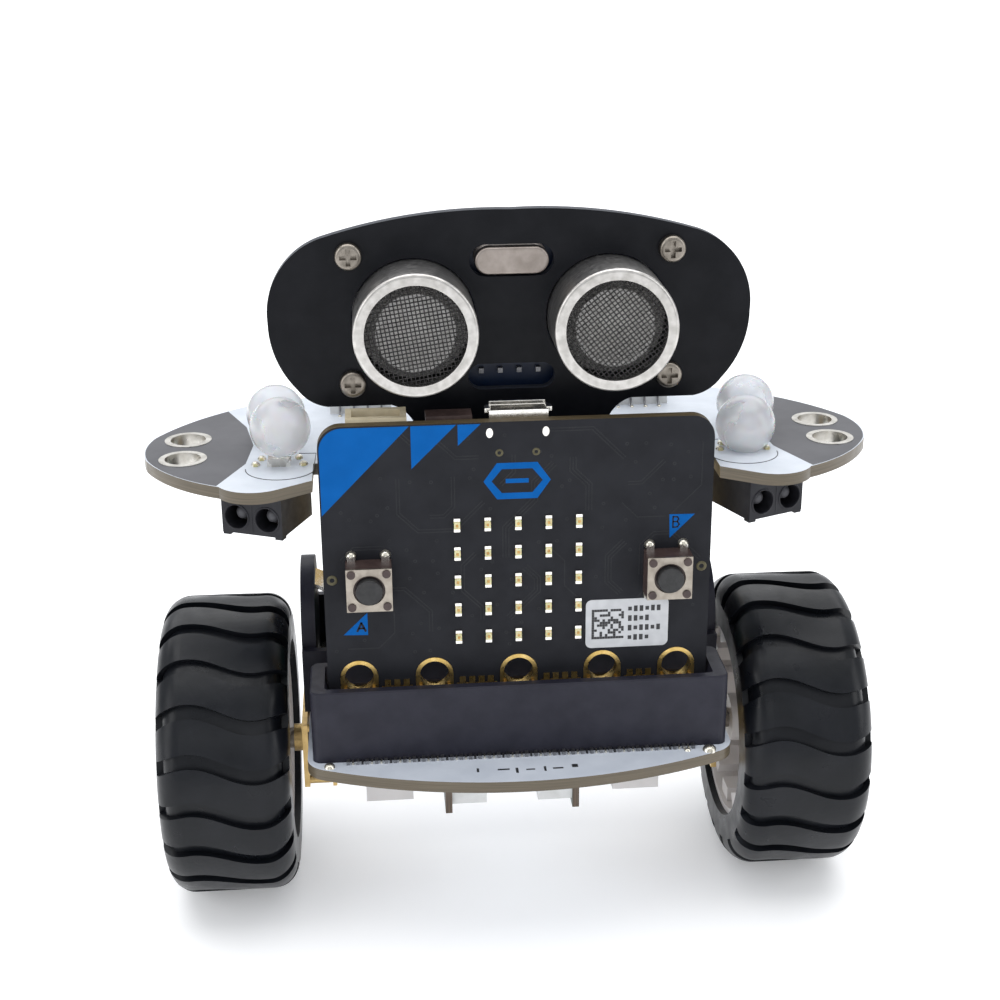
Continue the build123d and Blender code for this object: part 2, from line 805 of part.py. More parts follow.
def make_crystal_can():
    """Stadium-shaped metal can of the sensor's crystal."""
    with BuildPart() as crystal_can:
        with BuildSketch(Plane.XZ.offset(-sensor_y)):
            with Locations((crystal_x, crystal_z)):
                SlotOverall(*crystal_size)
        extrude(amount=crystal_height)
        fillet(crystal_can.edges().group_by(Axis.Y)[0], 0.35)
    save(crystal_can, "crystal_can")


def make_sensor_header():
    """Four right-angle pins and their block, joining the sensor to the upper board."""
    back = sensor_y + sensor_thickness
    half = header_pin / 2
    block_half = header_pitch / 2
    tip = sensor_y - header_tip
    columns = [(number - 1.5) * header_pitch for number in range(4)]
    with BuildPart() as sensor_header:
        block((-4 * block_half, 4 * block_half), (back, back + 2 * block_half),
              (header_z - block_half, header_z + block_half))
        for x in columns:
            block((x - half, x + half), (back - 1, back + 4), (header_z - half, header_z + half),
                  Mode.SUBTRACT)
    with BuildPart() as header_pins:
        for x in columns:
            block((x - half, x + half), (tip, header_drop_y + half), (header_z - half, header_z + half))
            block((x - half, x + half), (header_drop_y - half, header_drop_y + half),
                  (upper_board_top - board_thickness - 0.8, header_z))
    save(sensor_header, "sensor_header")
    save(header_pins, "header_pins")


def make_face_fasteners():
    """Screws, spacers and nuts at the sensor board's four corners."""
    back = sensor_y + sensor_thickness
    head_front = face_y - face_screw_head_height
    half = cross_slot_width / 2
    reach = cross_slot_length / 2
    with BuildPart() as face_screws:
        for x, z in face_screw_places():
            rod_y(x, (face_y, back + nut_height + half), z, bracket_screw_radius)
            rod_y(x, (head_front, face_y), z, face_screw_head)
        fillet(face_screws.edges().filter_by(GeomType.CIRCLE).group_by(Axis.Y)[0], 0.5)
        for x, z in face_screw_places():
            slot = (head_front - 1, head_front + cross_slot_depth)
            block((x - reach, x + reach), slot, (z - half, z + half), Mode.SUBTRACT)
            block((x - half, x + half), slot, (z - reach, z + reach), Mode.SUBTRACT)
    save(face_screws, "face_screws")
    with BuildPart() as face_spacers:
        for x, z in face_screw_places():
            rod_y(x, (face_y + face_thickness, sensor_y), z, face_screw_head)
            rod_y(x, (face_y, sensor_y + 1), z, bracket_screw_radius, Mode.SUBTRACT)
    save(face_spacers, "face_spacers")
    with BuildPart() as face_nuts:
        with BuildSketch(Plane.XZ.offset(-back - nut_height)):
            with Locations(*face_screw_places()):
                RegularPolygon(nut_flats / 2, 6, major_radius=False)
            with Locations(*face_screw_places()):
                Circle(bracket_screw_radius, mode=Mode.SUBTRACT)
        extrude(amount=nut_height)
    save(face_nuts, "face_nuts")


# ---------------------------------------------------------------- lights and terminals

def cut_lights(mode):
    """The four square lights, added to or cut from the part being built."""
    for _, side in SIDES:
        for x, y in light_places:
            block((side * x - light_half, side * x + light_half), (y - light_half, y + light_half),
                  (upper_board_top, light_top), mode)


def make_light_domes():
    """Four frosted balls, each hollowed where it sits over its light."""
    with BuildPart() as light_domes:
        for centre in dome_centres:
            with Locations(centre):
                Sphere(dome_radius)
        room = 2 * ear_hole_x
        block((-room, room), (-room, room), (upper_board_top - dome_radius, upper_board_top),
              Mode.SUBTRACT)
        cut_lights(Mode.SUBTRACT)
    save(light_domes, "light_domes")


def make_rgb_leds():
    """Square lights under the balls."""
    with BuildPart() as rgb_leds:
        cut_lights(Mode.ADD)
    save(rgb_leds, "rgb_leds")


def terminal_plane(side, drop):
    """Plane at a drop below a terminal block's top, turned outward with its front."""
    turn = radians(terminal_turn)
    x, y = terminal_place
    return Plane(origin=(side * x, y, upper_board_top - board_thickness - drop),
                 x_dir=(cos(turn), side * sin(turn), 0), z_dir=(0, 0, 1))


def make_terminals():
    """Two-way screw terminals hanging under the ears, and their clamp screws."""
    bore_depth = clamp_screw_sink + clamp_screw_length + running_gap
    for name, side in SIDES:
        hole_plane = terminal_plane(side, wire_hole_drop)
        with BuildPart() as terminal:
            with BuildSketch(terminal_plane(side, terminal_height)):
                Rectangle(terminal_width, terminal_depth)
            extrude(amount=terminal_height)
            with BuildSketch(terminal_plane(side, terminal_height)):
                with GridLocations(terminal_pitch, 0, 2, 1):
                    Circle(clamp_screw_radius)
            extrude(amount=bore_depth, mode=Mode.SUBTRACT)
            face = Plane(origin=hole_plane.from_local_coords((0, -terminal_depth / 2, 0)),
                         x_dir=hole_plane.x_dir, z_dir=-hole_plane.y_dir)
            with BuildSketch(face):
                with GridLocations(terminal_pitch, 0, 2, 1):
                    Circle(wire_hole_radius)
            extrude(amount=-wire_hole_depth, mode=Mode.SUBTRACT)
        save(terminal, f"{name}_terminal")
    with BuildPart() as terminal_screws:
        for _, side in SIDES:
            head = terminal_plane(side, terminal_height - clamp_screw_sink)
            with BuildSketch(head):
                with GridLocations(terminal_pitch, 0, 2, 1):
                    Circle(clamp_screw_radius - running_gap)
            extrude(amount=clamp_screw_length)
            with BuildSketch(head):
                with GridLocations(terminal_pitch, 0, 2, 1):
                    Rectangle(*clamp_slot)
            extrude(amount=clamp_slot_depth, mode=Mode.SUBTRACT)
    save(terminal_screws, "terminal_screws")


def make_wire_connectors():
    """Cream wire sockets: on both encoder boards, the lower board and the upper board."""
    with BuildPart() as wire_connectors:
        for _, side in SIDES:
            for (inner, outer), y_limits, z_limits in (encoder_plug, lower_plug, upper_plug):
                block((side * inner, side * outer), y_limits, z_limits)
    save(wire_connectors, "wire_connectors")


# ---------------------------------------------------------------- gear motors

def make_motor_brackets():
    """White clamps that hold the motors up against the lower board."""
    seat = lower_board_top - board_thickness
    floor = axle_z - motor_height / 2
    half = motor_width / 2
    foot_half = bracket_foot_half
    with BuildPart() as motor_brackets:
        for _, side in SIDES:
            x_limits = (side * bracket_inner_x, side * bracket_outer_x)
            block(x_limits, (axle_y - half - bracket_wall, axle_y + half + bracket_wall),
                  (floor - bracket_floor, seat))
            block((side * (bracket_inner_x - 1), side * (bracket_outer_x + 1)),
                  (axle_y - half, axle_y + half), (floor, seat + 1), Mode.SUBTRACT)
            for end in (-1, 1):
                block((side * bracket_screw_x - foot_half, side * bracket_screw_x + foot_half),
                      (axle_y + end * (half + bracket_wall), axle_y + end * bracket_foot_reach),
                      (seat - bracket_foot, seat))
        for x, y in bracket_screw_places():
            rod_z(x, y, (seat - bracket_foot - 1, seat + 1), bracket_screw_radius, Mode.SUBTRACT)
    save(motor_brackets, "motor_brackets")


def make_gearbox_frame(name, side):
    """Three brass plates on three posts, with the output bushing on the outer plate."""
    half_w = motor_width / 2
    half_h = motor_height / 2
    plates = ((plate_outer_x, plate_thickness), (middle_plate_x, middle_plate_thickness),
              (can_outer_x + plate_thickness, plate_thickness))
    idler_y = axle_y + idler_offset[0]
    idler_z = axle_z + idler_offset[1]
    gap = running_gap
    inner_end = can_outer_x - 1
    with BuildPart() as gearbox_frame:
        for outer, thickness in plates:
            block((side * (outer - thickness), side * outer), (axle_y - half_w, axle_y + half_w),
                  (axle_z - half_h, axle_z + half_h))
        for dy, dz in ((-1, -1), (-1, 1), (1, -1)):
            rod_x((side * can_outer_x, side * plate_outer_x),
                  axle_y + dy * (half_w - frame_post_inset),
                  axle_z + dz * (half_h - frame_post_inset), frame_post_radius)
        rod_x((side * plate_outer_x, side * bushing_end_x), axle_y, axle_z, bushing_radius)
        rod_x((side * (plate_outer_x - 1), side * (bushing_end_x + 1)), axle_y, axle_z,
              output_shaft_radius + gap, Mode.SUBTRACT)
        rod_x((side * (middle_plate_x - 1), side * middle_plate_x), axle_y, axle_z,
              stub_radius + gap, Mode.SUBTRACT)
        rod_x((side * inner_end, side * (middle_plate_x - 1)), axle_y, axle_z,
              motor_shaft_radius + gap, Mode.SUBTRACT)
        rod_x((side * inner_end, side * (plate_outer_x + 1)), idler_y, idler_z,
              idler_axle_radius + gap, Mode.SUBTRACT)
    save(gearbox_frame, f"{name}_gearbox_frame")


def gear_points(teeth, phase, centre=(0.0, 0.0)):
    """Corner points of a gear with straight-sided teeth; one tooth points along the phase."""
    pitch = 360 / teeth
    root = gear_module * (teeth / 2 - 1.25)
    tip = gear_module * (teeth / 2 + 0.85)
    points = []
    for number in range(teeth):
        for share, radius in ((-0.29, root), (-0.11, tip), (0.11, tip), (0.29, root)):
            angle = radians(phase + (number + share) * pitch)
            points.append((centre[0] + radius * cos(angle), centre[1] + radius * sin(angle)))
    return points


def make_gear_train(name, side):
    """Output shaft with its gear, compound idler and motor rotor, in mesh."""
    mesh_line = degrees(atan2(idler_offset[1], idler_offset[0]))
    axis_point = (axle_y, axle_z)
    idler_point = (axle_y + idler_offset[0], axle_z + idler_offset[1])
    gap_facing = mesh_line + 180
    with BuildPart() as output_shaft:
        with BuildSketch(Plane.YZ.offset(side * (output_gear_x - gear_width))):
            with BuildLine():
                Polyline(*gear_points(wheel_gear_teeth, mesh_line, axis_point), close=True)
            make_face()
        extrude(amount=side * gear_width)
        rod_x((side * output_gear_x, side * output_shaft_end_x), axle_y, axle_z, output_shaft_radius)
        rod_x((side * (middle_plate_x - middle_plate_thickness),
               side * (output_gear_x - gear_width)), axle_y, axle_z, stub_radius)
        block((side * flat_start_x, side * (output_shaft_end_x + 1)),
              (axle_y - 2 * output_shaft_radius, axle_y + 2 * output_shaft_radius),
              (axle_z + shaft_flat, axle_z + 2 * output_shaft_radius), Mode.SUBTRACT)
    save(output_shaft, f"{name}_output_shaft")
    with BuildPart() as idler_gear:
        with BuildSketch(Plane.YZ.offset(side * (output_gear_x - gear_width))):
            with BuildLine():
                Polyline(*gear_points(pinion_teeth, gap_facing + 180 / pinion_teeth, idler_point),
                         close=True)
            make_face()
        extrude(amount=side * gear_width)
        with BuildSketch(Plane.YZ.offset(side * (motor_gear_x - gear_width))):
            with BuildLine():
                Polyline(*gear_points(wheel_gear_teeth, gap_facing + 180 / wheel_gear_teeth,
                                      idler_point), close=True)
            make_face()
        extrude(amount=side * gear_width)
        rod_x((side * can_outer_x, side * plate_outer_x), *idler_point, idler_axle_radius)
    save(idler_gear, f"{name}_idler_gear")
    with BuildPart() as rotor:
        with BuildSketch(Plane.YZ.offset(side * (motor_gear_x - gear_width))):
            with BuildLine():
                Polyline(*gear_points(pinion_teeth, mesh_line, axis_point), close=True)
            make_face()
        extrude(amount=side * gear_width)
        rod_x((side * magnet_x, side * motor_gear_x), axle_y, axle_z, motor_shaft_radius)
        rod_x((side * (can_inner_x + armature_end_gap), side * (can_outer_x - armature_end_gap)),
              axle_y, axle_z, armature_radius)
        rod_x((side * magnet_x, side * (magnet_x + magnet_length)), axle_y, axle_z, magnet_radius)
    save(rotor, f"{name}_rotor")


def make_motor_can(name, side):
    """Steel motor can with two flats, hollow around its rotor."""
    wall = can_sheet
    with BuildPart() as motor_can:
        with BuildSketch(Plane.YZ.offset(side * can_inner_x)):
            with Locations((axle_y, axle_z)):
                Circle(motor_width / 2)
                Rectangle(motor_width, motor_height, mode=Mode.INTERSECT)
        extrude(amount=side * (can_outer_x - can_inner_x))
        with BuildSketch(Plane.YZ.offset(side * (can_inner_x - 1))):
            with Locations((axle_y, axle_z)):
                Circle(motor_width / 2 - wall)
                Rectangle(motor_width, motor_height - 2 * wall, mode=Mode.INTERSECT)
        extrude(amount=side * (can_outer_x - can_inner_x + 1 - wall), mode=Mode.SUBTRACT)
        rod_x((side * (can_outer_x - 1), side * (can_outer_x + 1)), axle_y, axle_z,
              motor_shaft_radius + running_gap, Mode.SUBTRACT)
    save(motor_can, f"{name}_motor_can")


def make_motor_ends():
    """White motor end caps and the encoder boards behind them."""
    with BuildPart() as motor_end_caps:
        for _, side in SIDES:
            with BuildSketch(Plane.YZ.offset(side * encoder_board_x)):
                with Locations((axle_y, axle_z)):
                    Circle(motor_width / 2)
                    Rectangle(motor_width, motor_height, mode=Mode.INTERSECT)
            extrude(amount=side * (can_inner_x - encoder_board_x))
            rod_x((side * (encoder_board_x - 1), side * (can_inner_x + 1)), axle_y, axle_z,
                  motor_shaft_radius + running_gap, Mode.SUBTRACT)
    save(motor_end_caps, "motor_end_caps")
    half = motor_width / 2
    with BuildPart() as encoder_boards:
        for _, side in SIDES:
            inner = encoder_board_x - encoder_board_thickness
            block((side * inner, side * encoder_board_x), (axle_y - half, axle_y + half),
                  (encoder_board_bottom, encoder_board_top))
            rod_x((side * (inner - 1), side * (encoder_board_x + 1)), axle_y, axle_z,
                  motor_shaft_radius + 0.5, Mode.SUBTRACT)
    save(encoder_boards, "encoder_boards")


# ---------------------------------------------------------------- wheels

def make_rim(name, side):
    """White rim: barrel, spoked web, inner teeth and a hub with a flatted bore."""
    barrel_inner = wheel_inner_x + tyre_lip
    barrel_outer = wheel_inner_x + wheel_width - tyre_lip
    inner_radius = rim_seat_radius - rim_wall
    web_outer = barrel_outer - web_inset
    web_inner = web_outer - web_thickness
    hub_inner = wheel_inner_x + hub_inset
    window_inner = hub_radius + 1.2
    window_outer = inner_radius - 0.6
    with BuildPart() as rim:
        rod_x((side * barrel_inner, side * barrel_outer), axle_y, axle_z, rim_seat_radius)
        rod_x((side * (barrel_inner - 1), side * (barrel_outer + 1)), axle_y, axle_z, inner_radius,
              Mode.SUBTRACT)
        with BuildSketch(Plane.YZ.offset(side * web_inner)):
            with Locations((axle_y, axle_z)):
                Circle(inner_radius)
                with PolarLocations((window_inner + window_outer) / 2, rim_spokes):
                    Trapezoid(window_outer - window_inner, 5.0, 105, rotation=-90,
                              mode=Mode.SUBTRACT)
        extrude(amount=side * (web_outer - web_inner))
        with BuildSketch(Plane.YZ.offset(side * (barrel_inner + 0.6))):
            with Locations((axle_y, axle_z)):
                with PolarLocations(inner_radius - 0.9, rim_teeth):
                    Rectangle(*rim_tooth_section)
                Circle(inner_radius + rim_wall / 2, mode=Mode.INTERSECT)
        extrude(amount=side * rim_tooth_length)
        rod_x((side * hub_inner, side * web_outer), axle_y, axle_z, hub_radius)
        with BuildSketch(Plane.YZ.offset(side * (hub_inner - 1))):
            with Locations((axle_y, axle_z)):
                Circle(output_shaft_radius)
                with Locations((0, shaft_flat + output_shaft_radius)):
                    Rectangle(4 * output_shaft_radius, 2 * output_shaft_radius, mode=Mode.SUBTRACT)
        extrude(amount=side * (output_shaft_end_x - hub_inner + 1), mode=Mode.SUBTRACT)
    save(rim, f"{name}_rim")


def make_tyre(name, side):
    """Rubber tyre with wavy cross grooves and lips over the rim's edges."""
    middle = side * (wheel_inner_x + wheel_width / 2)
    half = wheel_width / 2
    crown = wheel_radius
    arc = shoulder_radius
    bend = arc * cos(radians(45))
    hub_line = Axis((0, axle_y, axle_z), (1, 0, 0))
    section = Plane(origin=(middle, axle_y, axle_z), x_dir=(1, 0, 0), z_dir=(0, 0, 1))
    wave = [(step / wave_steps - 0.5) * (wheel_width + 1) for step in range(wave_steps + 1)]
    upper = [(x, groove_width / 2 - groove_swing * sin(radians(360 * x / wheel_width)))
             for x in wave]
    lower = [(x, y - groove_width) for x, y in upper]
    planes = []
    for number in range(groove_count):
        angle = radians(360 * number / groove_count)
        planes.append(Plane(origin=(middle, axle_y, axle_z), x_dir=(1, 0, 0),
                            z_dir=(0, -sin(angle), cos(angle))).offset(crown - arc))
    with BuildPart() as groove_core:
        with BuildSketch(section):
            with BuildLine():
                inner = arc - groove_depth
                dip = inner * cos(radians(45))
                floor = crown - groove_depth
                edge = half - groove_depth
                Line((-edge, 0), (-edge, crown - arc))
                ThreePointArc((-edge, crown - arc), (-half + arc - dip, crown - arc + dip),
                              (-half + arc, floor))
                Line((-half + arc, floor), (half - arc, floor))
                ThreePointArc((half - arc, floor), (half - arc + dip, crown - arc + dip),
                              (edge, crown - arc))
                Polyline((edge, crown - arc), (edge, 0), (-edge, 0))
            make_face()
        revolve(axis=hub_line)
    with BuildPart() as grooves:
        with BuildSketch(*planes):
            with BuildLine():
                Spline(*upper)
                Line(upper[-1], lower[-1])
                Spline(*lower[::-1])
                Line(lower[0], upper[0])
            make_face()
        extrude(amount=arc + 1)
        add(groove_core.part, mode=Mode.SUBTRACT)
    with BuildPart() as tyre:
        with BuildSketch(section):
            with BuildLine():
                seat = half - tyre_lip
                Polyline((-seat, rim_seat_radius), (-seat, tyre_bore_radius),
                         (-half, tyre_bore_radius), (-half, crown - arc))
                ThreePointArc((-half, crown - arc), (-half + arc - bend, crown - arc + bend),
                              (-half + arc, crown))
                Line((-half + arc, crown), (half - arc, crown))
                ThreePointArc((half - arc, crown), (half - arc + bend, crown - arc + bend),
                              (half, crown - arc))
                Polyline((half, crown - arc), (half, tyre_bore_radius), (seat, tyre_bore_radius),
                         (seat, rim_seat_radius), (-seat, rim_seat_radius))
            make_face()
        revolve(axis=hub_line)
        add(grooves.part, mode=Mode.SUBTRACT)
    save(tyre, f"{name}_tyre")


def main():
    os.makedirs("parts", exist_ok=True)
    make_lower_board()
    make_upper_board()
    make_ear_hole_rims()
    make_standoffs()
    make_board_screws()
    make_power_switch()
    make_edge_socket()
    make_socket_pins()
    make_control_board()
    make_board_contacts()
    make_led_matrix()
    make_buttons()
    make_reset_button()
    make_contact_domes()
    make_usb_port()
    make_battery_connector()
    make_circuit_chips()
    make_battery_holder()
    make_battery_cell()
    make_battery_contacts()
    make_face_plate()
    make_sensor_board()
    make_sensor_cans()
    make_sensor_insides()
    make_crystal_can()
    make_sensor_header()
    make_face_fasteners()
    make_light_domes()
    make_rgb_leds()
    make_terminals()
    make_wire_connectors()
    make_motor_brackets()
    make_motor_ends()
    for name, side in SIDES:
        make_gearbox_frame(name, side)
        make_gear_train(name, side)
        make_motor_can(name, side)
        make_rim(name, side)
        make_tyre(name, side)


main()
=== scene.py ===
import json
import math
import random

import bmesh
import bpy
from mathutils import Matrix, Vector
from mathutils.geometry import tessellate_polygon


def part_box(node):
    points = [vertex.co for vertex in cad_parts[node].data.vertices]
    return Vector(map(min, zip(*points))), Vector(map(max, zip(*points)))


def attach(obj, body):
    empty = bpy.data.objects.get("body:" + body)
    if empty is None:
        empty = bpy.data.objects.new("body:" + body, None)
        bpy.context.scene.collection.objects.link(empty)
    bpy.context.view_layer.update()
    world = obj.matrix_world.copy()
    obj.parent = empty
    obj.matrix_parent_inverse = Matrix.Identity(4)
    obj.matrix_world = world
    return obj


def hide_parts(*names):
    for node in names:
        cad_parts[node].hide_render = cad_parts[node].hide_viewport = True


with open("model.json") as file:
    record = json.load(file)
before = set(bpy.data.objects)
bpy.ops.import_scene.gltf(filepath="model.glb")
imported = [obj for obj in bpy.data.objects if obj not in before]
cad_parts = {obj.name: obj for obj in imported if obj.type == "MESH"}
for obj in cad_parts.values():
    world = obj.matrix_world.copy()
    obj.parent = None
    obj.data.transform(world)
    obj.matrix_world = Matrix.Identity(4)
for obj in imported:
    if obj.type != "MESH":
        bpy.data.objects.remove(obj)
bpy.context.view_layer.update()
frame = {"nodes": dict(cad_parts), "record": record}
MM = 0.001
SIDES = (("left", -1), ("right", 1))


def box_mm(node):
    """Lowest and highest corner of a CAD node, in millimetres."""
    low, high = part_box(node)
    return low / MM, high / MM


# ------------------------------------------------------------------ materials

class Finish:
    """A procedural material whose textures sit in the object's own space."""

    def __init__(self, name, metallic=0.0, **sockets):
        self.material = bpy.data.materials.new(name)
        self.material.use_nodes = True
        self.tree = self.material.node_tree
        self.shader = self.tree.nodes["Principled BSDF"]
        self.shader.inputs["Metallic"].default_value = metallic
        for socket, value in sockets.items():
            self.shader.inputs[socket.replace("_", " ")].default_value = value
        self.place = self.tree.nodes.new("ShaderNodeTexCoord")

    def node(self, kind, links=(), **values):
        made = self.tree.nodes.new(kind)
        for socket, value in values.items():
            made.inputs[socket.replace("_", " ")].default_value = value
        for socket, source in links:
            self.tree.links.new(source, made.inputs[socket])
        return made

    def noise(self, per_mm, detail=3.0, stretch=(1, 1, 1)):
        spread = self.node("ShaderNodeMapping", [("Vector", self.place.outputs["Object"])],
                           Scale=stretch)
        made = self.node("ShaderNodeTexNoise", [("Vector", spread.outputs[0])],
                         Scale=per_mm / MM, Detail=detail)
        return made.outputs["Fac"]

    def ramp(self, factor, dark, light, low=0.35, high=0.65):
        made = self.node("ShaderNodeValToRGB", [("Fac", factor)])
        ends = made.color_ramp.elements
        ends[0].position, ends[1].position = low, high
        ends[0].color, ends[1].color = (*dark, 1), (*light, 1)
        return made.outputs["Color"]

    def spread(self, factor, low, high):
        made = self.node("ShaderNodeMapRange", [("Value", factor)], From_Min=0.3, From_Max=0.7,
                         To_Min=low, To_Max=high)
        return made.outputs["Result"]

    def facing(self, axis, limit=0.7):
        """1 where the surface faces along the axis, 0 on its edges."""
        parts = self.node("ShaderNodeSeparateXYZ", [("Vector", self.place.outputs["Normal"])])
        size = self.node("ShaderNodeMath", [(0, parts.outputs[axis])])
        size.operation = "ABSOLUTE"
        step = self.node("ShaderNodeMath", [(0, size.outputs[0])])
        step.operation = "GREATER_THAN"
        step.inputs[1].default_value = limit
        return step.outputs[0]

    def mix(self, factor, first, second):
        links = [("Fac", factor), ("Color1", first), ("Color2", second)]
        return self.node("ShaderNodeMixRGB", links).outputs["Color"]

    def use(self, socket, source):
        self.tree.links.new(source, self.shader.inputs[socket])

    def bump(self, height, depth_mm):
        made = self.node("ShaderNodeBump", [("Height", height)], Distance=depth_mm * MM)
        self.use("Normal", made.outputs["Normal"])


def moulded(name, dark, light, grain, rough, depth, depth_grain, metallic=0.0, stretch=(1, 1, 1),
            **sockets):
    """Colour mottling, uneven gloss and a fine bump: most of the robot's materials."""
    made = Finish(name, metallic, **sockets)
    made.use("Base Color", made.ramp(made.noise(grain, 4.0), dark, light))
    made.use("Roughness", made.spread(made.noise(grain * 2.3, 3.0, stretch), *rough))
    made.bump(made.noise(depth_grain, 4.0, stretch), depth)
    return made.material


def laminate(name, mask, edge, axis, rough, **sockets):
    """Circuit board: a coloured mask on its two faces, glass layers along its cut edges."""
    made = Finish(name, **sockets)
    layers = [60.0 if letter == axis else 1.0 for letter in "XYZ"]
    face = made.ramp(made.noise(0.25, 4.0), *mask)
    side = made.ramp(made.noise(0.12, 3.0, layers), *edge)
    made.use("Base Color", made.mix(made.facing(axis), side, face))
    made.use("Roughness", made.spread(made.noise(0.8), *rough))
    made.bump(made.noise(5.0), 0.004)
    return made.material


